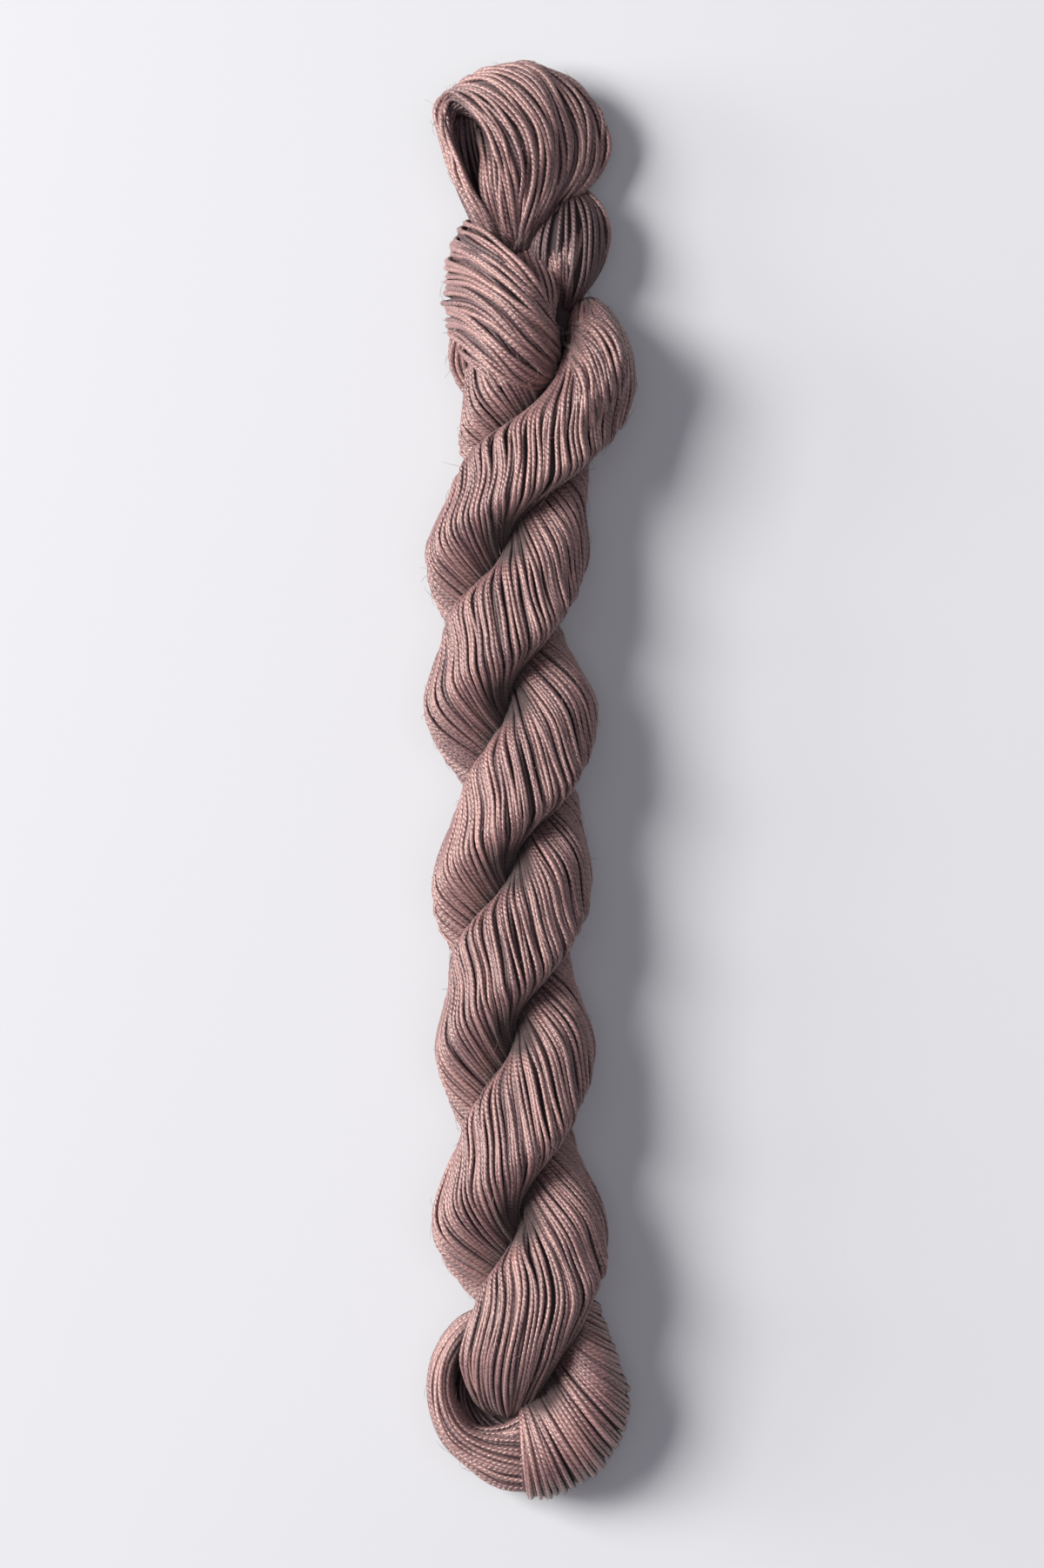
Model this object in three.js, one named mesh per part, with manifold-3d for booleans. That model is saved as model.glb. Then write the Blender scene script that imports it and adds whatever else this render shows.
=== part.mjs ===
// Hank of linen yarn: one skein, doubled on itself so that its two halves ply into a cord.
// Millimetres. X runs across the hank, Y along it towards its head loop, Z up from the table.
import * as THREE from 'three';
import { mergeVertices } from 'three/addons/utils/BufferGeometryUtils.js';
import Module from 'manifold-3d';

// Driving sizes of the plied body
const axisHeight = 13.9;        // the cord's own axis above the table
const flatten = 0.92;           // how far the hank settles under its own weight
const plyShare = 0.515;         // half thickness of a ply, as a share of the cord's half width
const lean = 16;                // roll of a ply's section ahead of its place, in degrees
const fullness = 2.1;           // roundness of a section: 2 is an ellipse, more is squarer
const plyStep = 3.6;            // distance between the sections of a ply
const loopStep = 2.4;           // and of the bundles at the two ends
const home = { x: -0.15, y: -0.34 };    // brings the middle of the hank to the origin
const levelling = { across: 80, along: 320, depth: 6 };   // block that levels the underside

// The cord's beats: the plies lie side by side in one row and one over the other in the next.
// along: place on the cord, drift: sideways place of its axis, reach: half width of the cord,
// wide: half width of each ply across the line that joins the plies
const beats = [
  { along: 64.4, drift: -0.3, reach: 16.6, wide: 12.9 },
  { along: 48.1, drift: -4.0, reach: 16.0, wide: 11.6 },
  { along: 32.0, drift: -5.2, reach: 16.1, wide: 11.7 },
  { along: 15.7, drift: -3.8, reach: 17.1, wide: 11.7 },
  { along: -0.9, drift: -2.1, reach: 16.1, wide: 11.4 },
  { along: -17.5, drift: -3.2, reach: 15.6, wide: 11.6 },
  { along: -34.1, drift: -3.8, reach: 16.0, wide: 11.9 },
  { along: -50.8, drift: -2.6, reach: 15.5, wide: 11.4 },
  { along: -69.5, drift: -2.7, reach: 16.1, wide: 11.0 },
  { along: -88.4, drift: -1.9, reach: 17.3, wide: 11.6 },
  { along: -104.5, drift: 0.7, reach: 16.2, wide: 11.8 },
];
const quarterTurn = 90;         // turn of the plies from one beat to the next, in degrees
const halfTurn = 180;           // lead of the second ply over the first

// Sections of the hand-laid stretches. x, y, z: centre; face: plan direction of the wide axis;
// turn: roll of the section about Y; wide, deep: half sizes. Angles are in degrees.
// The first ply comes out of the pit beside the collar and ends under the fold
const plyOneTop = [
  { x: 10.4, y: 99.0, z: 9.0, face: 180, turn: -112, wide: 4.0, deep: 2.4 },
  { x: 11.7, y: 94.5, z: 11.6, face: 180, turn: -106, wide: 8.4, deep: 4.8 },
  { x: 13.4, y: 88.4, z: 13.4, face: 180, turn: -96, wide: 10.6, deep: 6.8 },
  { x: 13.1, y: 80.5, z: 14.4, face: 180, turn: -78, wide: 11.6, deep: 8.2 },
];
const plyOneEnd = [
  { x: 4.5, y: -112.0, z: 9.0, face: 180, turn: 935, wide: 9.5, deep: 7.4 },
  { x: 7.0, y: -118.0, z: 10.0, face: 180, turn: 950, wide: 6.0, deep: 5.6 },
];
// The second ply leaves the neck under the collar and dives into the pit of the fold
const plyTwoTop = [
  { x: 0.4, y: 112.0, z: 13.5, face: 180, turn: 4, wide: 6.6, deep: 5.6 },
  { x: 0.0, y: 104.0, z: 13.6, face: 180, turn: 18, wide: 8.0, deep: 6.6 },
  { x: -3.0, y: 93.0, z: 13.4, face: 180, turn: 55, wide: 9.4, deep: 7.4 },
  { x: -4.9, y: 80.5, z: 13.2, face: 180, turn: 92, wide: 10.6, deep: 8.2 },
];
const plyTwoEnd = [
  { x: -1.6, y: -110.2, z: 20.0, face: 180, turn: 1092, wide: 11.3, deep: 8.2 },
  { x: -4.1, y: -115.5, z: 18.8, face: 180, turn: 1102, wide: 9.8, deep: 8.0 },
  { x: -5.6, y: -120.7, z: 16.4, face: 180, turn: 1108, wide: 7.2, deep: 7.2 },
  { x: -5.8, y: -124.4, z: 13.4, face: 180, turn: 1110, wide: 4.7, deep: 5.6 },
  { x: -5.7, y: -127.4, z: 10.4, face: 180, turn: 1110, wide: 1.8, deep: 3.0 },
];

// The head loop: a wide front limb that fans out from its turn and closes into the neck
const headLimb = [
  { x: -16.5, y: 134.9, z: 12.0, face: 136, turn: 0, wide: 2.4, deep: 6.4 },
  { x: -14.6, y: 136.2, z: 12.2, face: 106, turn: 0, wide: 2.9, deep: 7.6 },
  { x: -10.0, y: 138.1, z: 12.8, face: 72, turn: 0, wide: 6.0, deep: 8.8 },
  { x: -5.0, y: 137.6, z: 12.8, face: 54, turn: 0, wide: 9.3, deep: 9.8 },
  { x: -0.5, y: 134.4, z: 12.6, face: 38, turn: 0, wide: 12.1, deep: 10.4 },
  { x: 2.6, y: 129.0, z: 12.5, face: 21, turn: 0, wide: 13.7, deep: 10.6 },
  { x: 2.8, y: 123.2, z: 12.8, face: 14, turn: 0, wide: 12.0, deep: 10.4 },
  { x: 1.1, y: 117.8, z: 13.4, face: 18, turn: 0, wide: 9.8, deep: 9.2 },
  { x: -0.9, y: 112.6, z: 13.6, face: 20, turn: 0, wide: 7.2, deep: 7.8 },
  { x: -2.4, y: 106.6, z: 12.4, face: 12, turn: 0, wide: 4.6, deep: 6.0 },
];
// and a narrow limb that stands on edge on the left of its eye
const headRim = [
  { x: -16.8, y: 137.0, z: 12.0, face: 0, turn: 0, wide: 2.0, deep: 5.4 },
  { x: -16.7, y: 134.6, z: 12.0, face: 0, turn: 0, wide: 2.4, deep: 6.8 },
  { x: -16.3, y: 131.6, z: 12.0, face: 0, turn: 0, wide: 2.2, deep: 7.4 },
  { x: -15.6, y: 128.1, z: 12.0, face: 0, turn: 0, wide: 2.1, deep: 7.8 },
  { x: -14.0, y: 123.4, z: 12.0, face: 0, turn: 0, wide: 2.2, deep: 8.0 },
  { x: -12.1, y: 118.6, z: 12.0, face: 0, turn: 0, wide: 2.7, deep: 7.8 },
  { x: -10.0, y: 114.2, z: 12.4, face: 0, turn: 0, wide: 3.1, deep: 7.2 },
  { x: -6.6, y: 108.6, z: 12.8, face: 0, turn: 0, wide: 3.0, deep: 6.0 },
];
// The collar: the other end loop, drawn round the neck from the pit, over the front and behind
const collarBand = [
  { x: 6.4, y: 87.4, z: 7.6, face: 90, turn: -66, wide: 4.2, deep: 2.0 },
  { x: 4.9, y: 88.4, z: 15.0, face: 90, turn: -52, wide: 7.8, deep: 3.2 },
  { x: 1.2, y: 89.8, z: 20.8, face: 90, turn: -24, wide: 13.0, deep: 4.4 },
  { x: -4.9, y: 92.4, z: 23.2, face: 90, turn: 6, wide: 17.0, deep: 4.6 },
  { x: -10.7, y: 96.4, z: 20.0, face: 90, turn: 45, wide: 17.4, deep: 4.6 },
  { x: -13.5, y: 100.4, z: 13.5, face: 90, turn: 90, wide: 15.2, deep: 4.5 },
  { x: -10.8, y: 103.6, z: 6.8, face: 90, turn: 140, wide: 12.6, deep: 4.3 },
  { x: -3.2, y: 105.4, z: 4.4, face: 90, turn: 180, wide: 11.4, deep: 4.2 },
  { x: 5.6, y: 107.1, z: 5.4, face: 90, turn: 205, wide: 10.4, deep: 4.4 },
  { x: 10.0, y: 110.2, z: 9.5, face: 90, turn: 240, wide: 8.6, deep: 4.0 },
];
// and back over the right side into the pit
const collarReturn = [
  { x: 10.4, y: 120.0, z: 8.6, face: 180, turn: 0, wide: 1.8, deep: 2.8 },
  { x: 10.3, y: 118.4, z: 11.0, face: 180, turn: 0, wide: 4.2, deep: 5.0 },
  { x: 9.4, y: 114.8, z: 13.4, face: 180, turn: 0, wide: 6.9, deep: 7.0 },
  { x: 8.1, y: 110.4, z: 14.8, face: 180, turn: 0, wide: 9.0, deep: 7.8 },
  { x: 7.3, y: 105.7, z: 15.2, face: 180, turn: 0, wide: 9.2, deep: 7.8 },
  { x: 7.2, y: 101.2, z: 14.2, face: 180, turn: 0, wide: 6.9, deep: 7.0 },
  { x: 7.9, y: 97.8, z: 12.2, face: 180, turn: 0, wide: 4.3, deep: 5.2 },
  { x: 8.2, y: 94.8, z: 9.6, face: 180, turn: 0, wide: 2.0, deep: 3.2 },
];

// The fold at the foot. Its right bundle comes out from under the second ply and fans out
const foldRight = [
  { x: 9.6, y: -102.6, z: 8.8, face: -28, turn: 0, wide: 5.2, deep: 5.6 },
  { x: 9.8, y: -107.4, z: 9.8, face: -28, turn: 0, wide: 7.4, deep: 8.0 },
  { x: 10.5, y: -111.3, z: 10.4, face: -31, turn: 0, wide: 8.8, deep: 9.6 },
  { x: 11.4, y: -114.6, z: 10.6, face: -36, turn: 0, wide: 10.0, deep: 10.2 },
  { x: 12.4, y: -118.2, z: 10.6, face: -42, turn: 0, wide: 10.6, deep: 10.5 },
  { x: 12.2, y: -122.9, z: 10.5, face: -49, turn: 0, wide: 10.9, deep: 10.5 },
  { x: 10.1, y: -126.9, z: 10.3, face: -54, turn: 0, wide: 11.3, deep: 10.3 },
  { x: 6.6, y: -130.8, z: 10.0, face: -59, turn: 0, wide: 11.3, deep: 9.9 },
  { x: 2.8, y: -133.4, z: 9.7, face: -68, turn: 0, wide: 10.9, deep: 9.5 },
  { x: 0.4, y: -134.6, z: 9.4, face: -78, turn: 0, wide: 10.2, deep: 9.0 },
  { x: -1.4, y: -134.9, z: 9.2, face: -88, turn: 0, wide: 9.0, deep: 8.0 },
];
// and the arc on its left goes round this pit. angle: plan direction from the pit, in degrees;
// out: distance of the section's centre from the pit; wide, deep: half sizes; z: height
const foldPit = { x: -0.7, y: -124.6 };
const foldArc = [
  { angle: 108, out: 19.0, z: 11.0, wide: 1.6, deep: 5.0 },
  { angle: 128, out: 18.9, z: 10.4, wide: 2.2, deep: 6.4 },
  { angle: 155, out: 18.0, z: 9.6, wide: 2.5, deep: 7.2 },
  { angle: 182, out: 16.5, z: 9.0, wide: 3.1, deep: 7.6 },
  { angle: 208, out: 14.9, z: 8.8, wide: 4.0, deep: 7.8 },
  { angle: 233, out: 11.9, z: 8.8, wide: 6.1, deep: 8.0 },
  { angle: 256, out: 10.5, z: 8.8, wide: 8.1, deep: 8.2 },
  { angle: 278, out: 10.5, z: 8.8, wide: 8.2, deep: 7.8 },
];
// Low cushions of yarn that close the eyes of the head and the fold from below
const cushions = [
  { x: -3.0, y: -121.6, z: 6.2, acrossX: 14.5, acrossY: 13.5, up: 6.2 },
  { x: -9.0, y: 124.0, z: 5.4, acrossX: 8.0, acrossY: 12.0, up: 4.6 },
  { x: 2.0, y: 98.0, z: 9.0, acrossX: 11.0, acrossY: 14.0, up: 8.0 },
];

// Numbers of faces round a full bundle and a slim one
const roundFull = 18;
const roundSlim = 12;
const cushionFaces = { around: 12, up: 8 };
const weld = 1e-4;              // points nearer than this are one point

const radians = THREE.MathUtils.degToRad;

// A column's value at place s of a table, on a smooth curve through its rows
function track(rows, places, column, s) {
  const last = rows.length - 1;
  let i = 0;
  while (i < last - 1 && s > places[i + 1]) {
    i += 1;
  }
  const value = (k) => rows[k][column];
  const slope = (k) => (value(k + 1) - value(k)) / (places[k + 1] - places[k]);
  const tangent = (k) => {
    if (k === 0) return slope(0);
    if (k === last) return slope(last - 1);
    const before = places[k] - places[k - 1];
    const after = places[k + 1] - places[k];
    return (after * slope(k - 1) + before * slope(k)) / (before + after);
  };
  const length = places[i + 1] - places[i];
  const f = (s - places[i]) / length;
  const g = 1 - f;
  return value(i) * g * g * (1 + 2 * f) + value(i + 1) * f * f * (1 + 2 * g)
    + length * f * g * (tangent(i) * g - tangent(i + 1) * f);
}

// Distance along the centres of a table's rows
function distances(rows) {
  const places = [0];
  for (let i = 1; i < rows.length; i += 1) {
    const a = rows[i - 1];
    const b = rows[i];
    places.push(places[i - 1] + Math.hypot(b.x - a.x, b.y - a.y, b.z - a.z));
  }
  return places;
}

// A cosine or sine with its shoulders pushed out, so that a section fills its corners a little
function shoulder(value) {
  return Math.sign(value) * Math.abs(value) ** (2 / fullness);
}

// A wall point of a bundle: from the section's centre, wide * cos + deep * sin
function sectionPoint(row, angle, radius) {
  const face = radians(row.face);
  const turn = radians(row.turn);
  const across = radius * row.wide * shoulder(Math.cos(angle));
  const up = radius * row.deep * shoulder(Math.sin(angle));
  const side = across * Math.cos(face);
  return new THREE.Vector3(
    row.x + side * Math.cos(turn) - up * Math.sin(turn),
    row.y + across * Math.sin(face),
    row.z + side * Math.sin(turn) + up * Math.cos(turn),
  );
}

// A closed bundle of strands: a cylinder whose rings are laid on the sections of a table
function bundle(rows, around, step) {
  const places = distances(rows);
  const length = places[places.length - 1];
  const rings = Math.max(4, Math.round(length / step));
  const geometry = new THREE.CylinderGeometry(1, 1, 1, around, rings, false);
  const position = geometry.attributes.position;
  for (let i = 0; i < position.count; i += 1) {
    const px = position.getX(i);
    const pz = position.getZ(i);
    const s = (0.5 - position.getY(i)) * length;
    const row = {};
    for (const column of ['x', 'y', 'z', 'face', 'turn', 'wide', 'deep']) {
      row[column] = track(rows, places, column, s);
    }
    const point = sectionPoint(row, Math.atan2(pz, px), Math.hypot(px, pz));
    position.setXYZ(i, point.x, point.y, point.z);
  }
  return geometry;
}

// The sections of one ply along the body: it circles the cord's axis, a quarter turn a beat
function plyRows(startTurn) {
  return beats.map((beat, i) => {
    const turn = startTurn + quarterTurn * i;
    const toSide = Math.sin(radians(turn));
    const toTop = Math.cos(radians(turn));
    const deep = beat.reach * plyShare;
    const apart = beat.reach - deep;
    return {
      x: beat.drift - apart * toSide,
      y: beat.along,
      z: axisHeight + flatten * apart * toTop,
      face: 180,
      turn: turn + lean,
      wide: beat.wide * (1 - (1 - flatten) * Math.abs(toSide)),
      deep: deep * (1 - (1 - flatten) * Math.abs(toTop)),
    };
  });
}

// The sections of a bundle that goes round the pit of the fold
function aroundPit(rows) {
  return rows.map((row) => ({
    x: foldPit.x + row.out * Math.cos(radians(row.angle)),
    y: foldPit.y + row.out * Math.sin(radians(row.angle)),
    z: row.z,
    face: row.angle,
    turn: 0,
    wide: row.wide,
    deep: row.deep,
  }));
}

// A low cushion of yarn: a sphere drawn out to its half sizes
function cushion(row) {
  const geometry = new THREE.SphereGeometry(1, cushionFaces.around, cushionFaces.up);
  geometry.scale(row.acrossX, row.acrossY, row.up);
  geometry.translate(row.x, row.y, row.z);
  return geometry;
}

const wasm = await Module();
wasm.setup();

// A closed shape as a solid whose faces point out
function solid(geometry) {
  geometry.deleteAttribute('normal');
  geometry.deleteAttribute('uv');
  const merged = mergeVertices(geometry, weld);
  const vertices = Float32Array.from(merged.attributes.position.array);
  const faces = Uint32Array.from(merged.index.array);
  const corner = (k) => new THREE.Vector3().fromArray(vertices, 3 * faces[k]);
  let volume = 0;
  for (let k = 0; k < faces.length; k += 3) {
    volume += corner(k).dot(corner(k + 1).cross(corner(k + 2)));
  }
  if (volume < 0) {
    for (let k = 0; k < faces.length; k += 3) {
      [faces[k], faces[k + 1]] = [faces[k + 1], faces[k]];
    }
  }
  return new wasm.Manifold(new wasm.Mesh({ numProp: 3, vertProperties: vertices, triVerts: faces }));
}

const firstPly = [...plyOneTop, ...plyRows(0), ...plyOneEnd];
const secondPly = [...plyTwoTop, ...plyRows(halfTurn), ...plyTwoEnd];
const bundles = [
  bundle(firstPly, roundFull, plyStep),
  bundle(secondPly, roundFull, plyStep),
  bundle(headLimb, roundFull, loopStep),
  bundle(headRim, roundSlim, loopStep),
  bundle(collarBand, roundFull, plyStep),
  bundle(collarReturn, roundSlim, loopStep),
  bundle(foldRight, roundFull, loopStep),
  bundle(aroundPit(foldArc), roundSlim, loopStep),
  ...cushions.map(cushion),
];

let hank = solid(bundles[0]);
for (const geometry of bundles.slice(1)) {
  hank = hank.add(solid(geometry));
}

// The hank has settled flat where its lower crossings rest
const block = new THREE.BoxGeometry(levelling.across, levelling.along, levelling.depth);
block.translate(0, 0, -levelling.depth / 2);
hank = hank.subtract(solid(block));

const result = hank.getMesh();
const hankGeometry = new THREE.BufferGeometry();
hankGeometry.setAttribute('position', new THREE.BufferAttribute(result.vertProperties, 3));
hankGeometry.setIndex(new THREE.BufferAttribute(result.triVerts, 1));
hankGeometry.translate(home.x, home.y, 0);
hankGeometry.computeVertexNormals();

const yarn = new THREE.MeshStandardMaterial({ color: 0x9c7673, roughness: 0.75, metalness: 0.0 });
const hankMesh = new THREE.Mesh(hankGeometry, yarn);
hankMesh.name = 'hank';

const group = new THREE.Group();
group.add(hankMesh);
export default group;
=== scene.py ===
# %% [markdown]
# # A hank of linen yarn
# A hank is one long skein of yarn that has been twisted, doubled so that its two halves ply
# into a cord, and closed by tucking one end loop through the other. Nothing is sewn or cut.
# What the eye reads is the single yarns: about a millimetre thick, laid side by side in
# bundles, with dark gaps between them. So each yarn on the surface is modelled as a thin tube
# that follows its bundle, and the bundles themselves follow the solid model's sections.

# %% Load the frame
import math
import bpy
import numpy as np
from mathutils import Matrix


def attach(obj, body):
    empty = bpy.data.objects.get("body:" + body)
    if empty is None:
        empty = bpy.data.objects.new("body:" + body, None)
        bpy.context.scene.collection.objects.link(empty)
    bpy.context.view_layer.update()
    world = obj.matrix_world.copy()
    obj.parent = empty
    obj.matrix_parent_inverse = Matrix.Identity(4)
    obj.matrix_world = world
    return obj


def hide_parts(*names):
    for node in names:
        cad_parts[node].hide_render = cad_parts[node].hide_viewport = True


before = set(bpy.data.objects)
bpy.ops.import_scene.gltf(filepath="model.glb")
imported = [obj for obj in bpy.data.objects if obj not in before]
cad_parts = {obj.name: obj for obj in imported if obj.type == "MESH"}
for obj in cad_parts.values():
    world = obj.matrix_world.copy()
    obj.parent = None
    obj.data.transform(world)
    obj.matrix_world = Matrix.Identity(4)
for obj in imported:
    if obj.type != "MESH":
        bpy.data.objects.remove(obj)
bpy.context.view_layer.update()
NODE = "hank"
BODY = "root"
MM = 0.001
HOME = np.array([-0.15, -0.34, 0.0])      # middle of the hank, as in the solid model, in mm

# %% [markdown]
# ## Camera
# The picture looks straight down on the hank. A long lens from far away keeps the two ends of
# the hank from leaning apart. The frame height follows from the size of the hank in the picture.

# %% Camera
PICTURE_W, PICTURE_H = 1200, 1803
MM_PER_PIXEL = 0.175
HANK_PIXEL = (608.9, 898.0)               # where the middle of the hank lies in the picture
CAMERA_DISTANCE = 1.5
SENSOR_HEIGHT = 24.0
SILHOUETTE_HEIGHT = 0.014                 # height at which the outline of the hank is seen
NEAREST, FARTHEST = 0.05, 10.0            # distances from the camera between which it sees

frame_height = PICTURE_H * MM_PER_PIXEL * MM
camera_data = bpy.data.cameras.new("overhead_camera")
camera_data.sensor_fit = "VERTICAL"
camera_data.sensor_height = SENSOR_HEIGHT
camera_data.lens = SENSOR_HEIGHT * CAMERA_DISTANCE / frame_height
camera_data.clip_start = NEAREST
camera_data.clip_end = FARTHEST
camera = bpy.data.objects.new("overhead_camera", camera_data)
camera.location = (
    (PICTURE_W / 2 - HANK_PIXEL[0]) * MM_PER_PIXEL * MM,
    (HANK_PIXEL[1] - PICTURE_H / 2) * MM_PER_PIXEL * MM,
    SILHOUETTE_HEIGHT + CAMERA_DISTANCE,
)
bpy.context.scene.collection.objects.link(camera)
bpy.context.scene.camera = camera
print("lens, mm:", round(camera_data.lens, 1))

# %% [markdown]
# ## The bundles
# Each bundle of yarns is described by a short table of cross-sections, the same ones that the
# solid model is made from. A section is a slightly squared ellipse. Its columns are the centre
# (x, y, z), the plan direction of its wide axis (face), its roll about the Y axis (turn), and
# its two half sizes (wide, deep). Lengths are in millimetres and angles in degrees.
#
# The middle of the hank is a cord of two plies. It could be two plain helices, but a real hank
# sags and narrows from one crossing to the next. So the cord gets a beat at each quarter turn,
# with its own place, reach and width, and both plies are worked out from the same beats.

# %% Sizes of the plied cord
AXIS_HEIGHT = 13.9
FLATTEN = 0.92                            # height of the cord over its width
PLY_SHARE = 0.505                         # half thickness of a ply over the cord's reach
QUARTER_TURN = 90.0
ACROSS = 180.0                            # face of a ply's section
LEAN = 16.0                               # roll of a ply's section ahead of its place
HALF_TURN = 180.0

# along, drift of the axis, reach of the cord, half width of a ply
BEATS = np.array([
    (64.4, -0.3, 16.6, 12.9), (48.1, -4.0, 16.0, 11.6), (32.0, -5.2, 16.1, 11.7),
    (15.7, -3.8, 17.1, 11.7), (-0.9, -2.1, 16.1, 11.4), (-17.5, -3.2, 15.6, 11.6),
    (-34.1, -3.8, 16.0, 11.9), (-50.8, -2.6, 15.5, 11.4), (-69.5, -2.7, 16.1, 11.0),
    (-88.4, -1.9, 17.3, 11.6), (-104.5, 0.7, 16.2, 11.8),
])


def ply_rows(start_turn):
    """Sections of one ply: it circles the cord's axis at a distance apart, so its centre is the
    axis plus apart times (-sin turn, flattened cos turn), and turn grows a quarter turn a beat."""
    along, drift, reach, wide = BEATS.T
    turn = start_turn + QUARTER_TURN * np.arange(len(BEATS))
    to_side, to_top = np.sin(np.radians(turn)), np.cos(np.radians(turn))
    deep = reach * PLY_SHARE
    apart = reach - deep
    squeeze = 1 - FLATTEN
    return np.stack([
        drift - apart * to_side, along, AXIS_HEIGHT + FLATTEN * apart * to_top,
        np.full(len(BEATS), ACROSS), turn + LEAN,
        wide * (1 - squeeze * abs(to_side)), deep * (1 - squeeze * abs(to_top)),
    ], axis=1)


print("quarter turns of the cord:", len(BEATS) - 1)

# %% [markdown]
# ## Where the plies begin and end
# Near the neck the plies come out from under the collar, and at the foot they close into the
# fold. These stretches follow no rule, so their sections are measured one by one. The same
# order of columns holds for every table: x, y, z, face, turn, wide, deep.

# %% Ends of the plies
PLY_ONE_TOP = np.array([
    (11.4, 97.4, 8.6, 180, -112, 3.6, 2.4), (12.6, 93.6, 10.8, 180, -106, 7.4, 4.6),
    (13.8, 88.0, 13.0, 180, -96, 10.2, 6.4), (13.1, 80.5, 14.4, 180, -78, 11.6, 8.2),
])
PLY_ONE_END = np.array([
    (4.5, -112.0, 9.0, 180, 935, 9.5, 7.4), (7.0, -118.0, 10.0, 180, 950, 6.0, 5.6),
])
PLY_TWO_TOP = np.array([
    (-1.6, 110.0, 9.0, 180, 4, 4.6, 3.0), (-0.8, 103.5, 12.0, 180, 18, 7.4, 5.6),
    (-3.0, 93.0, 13.4, 180, 55, 9.4, 7.4), (-4.9, 80.5, 13.2, 180, 92, 10.6, 8.2),
])
PLY_TWO_END = np.array([
    (-1.6, -110.2, 20.0, 180, 1092, 11.3, 8.2), (-3.8, -115.5, 18.6, 180, 1100, 10.2, 8.2),
    (-4.8, -120.4, 15.6, 180, 1106, 8.2, 7.8), (-4.8, -124.6, 11.0, 180, 1108, 6.2, 6.8),
    (-4.4, -127.3, 5.8, 180, 1108, 4.0, 5.0), (-4.2, -128.4, 2.6, 180, 1108, 2.0, 2.6),
])
PLY_ONE = np.concatenate([PLY_ONE_TOP, ply_rows(0.0), PLY_ONE_END])
PLY_TWO = np.concatenate([PLY_TWO_TOP, ply_rows(HALF_TURN), PLY_TWO_END])
print("sections in the two plies:", len(PLY_ONE), len(PLY_TWO))

# %% [markdown]
# ## The head loop
# The head is one end loop of the skein. A thin limb stands on edge at the left of its eye, and
# the wide front limb fans out over the right. The bundles give the form inside. The yarns that
# show don't run along one bundle, so they are laid between guide strands: each guide is one
# yarn, drawn as marks from its start to its end, and the yarns between two guides
# change smoothly from the one to the other.

# %% Bundles of the head
HEAD_RIM = np.array([
    (-6.6, 108.6, 12.8, 180, 0, 3.0, 6.0), (-10.0, 114.2, 12.4, 180, 0, 3.1, 7.2),
    (-12.1, 118.6, 12.0, 180, 0, 2.7, 7.8), (-14.0, 123.4, 12.0, 180, 0, 2.2, 8.0),
    (-15.6, 128.1, 12.0, 180, 0, 2.1, 7.8), (-16.3, 131.6, 12.0, 176, 0, 2.1, 7.4),
])
HEAD_LIMB = np.array([
    (-16.5, 134.7, 12.0, 146, 0, 2.2, 7.0), (-14.6, 136.2, 12.2, 108, 0, 2.6, 7.4),
    (-10.0, 137.6, 12.4, 72, -6, 5.6, 8.0), (-5.0, 136.9, 12.0, 54, -13, 8.7, 8.6),
    (-0.5, 133.9, 11.8, 38, -19, 11.4, 9.0), (2.4, 129.0, 11.6, 21, -22, 13.2, 9.0),
    (2.6, 123.2, 11.7, 14, -20, 11.6, 8.8), (1.1, 117.8, 12.2, 18, -14, 9.2, 8.0),
    (-0.9, 112.6, 12.6, 20, -8, 6.6, 6.8), (-2.4, 106.6, 12.0, 12, 0, 4.0, 5.4),
])
HEAD_FLOOR = np.array([
    (-12.6, 136.2, 9.2, 180, 0, 3.0, 2.8), (-12.6, 132.0, 7.6, 180, 0, 4.2, 4.8),
    (-10.6, 122.0, 6.6, 180, 0, 4.6, 5.0), (-7.6, 114.0, 6.6, 180, 0, 4.6, 5.0),
    (-5.0, 107.0, 7.0, 180, 0, 3.6, 4.0),
])
THINNER_HEAD = np.array([1, 1, 1, 1, 1, 0.82, 0.62])   # leaves room for the yarns over it
HEAD_INNER = np.concatenate([HEAD_RIM, HEAD_LIMB]) * THINNER_HEAD
print("sections in the head:", len(HEAD_INNER), "and in its floor:", len(HEAD_FLOOR))

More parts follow.
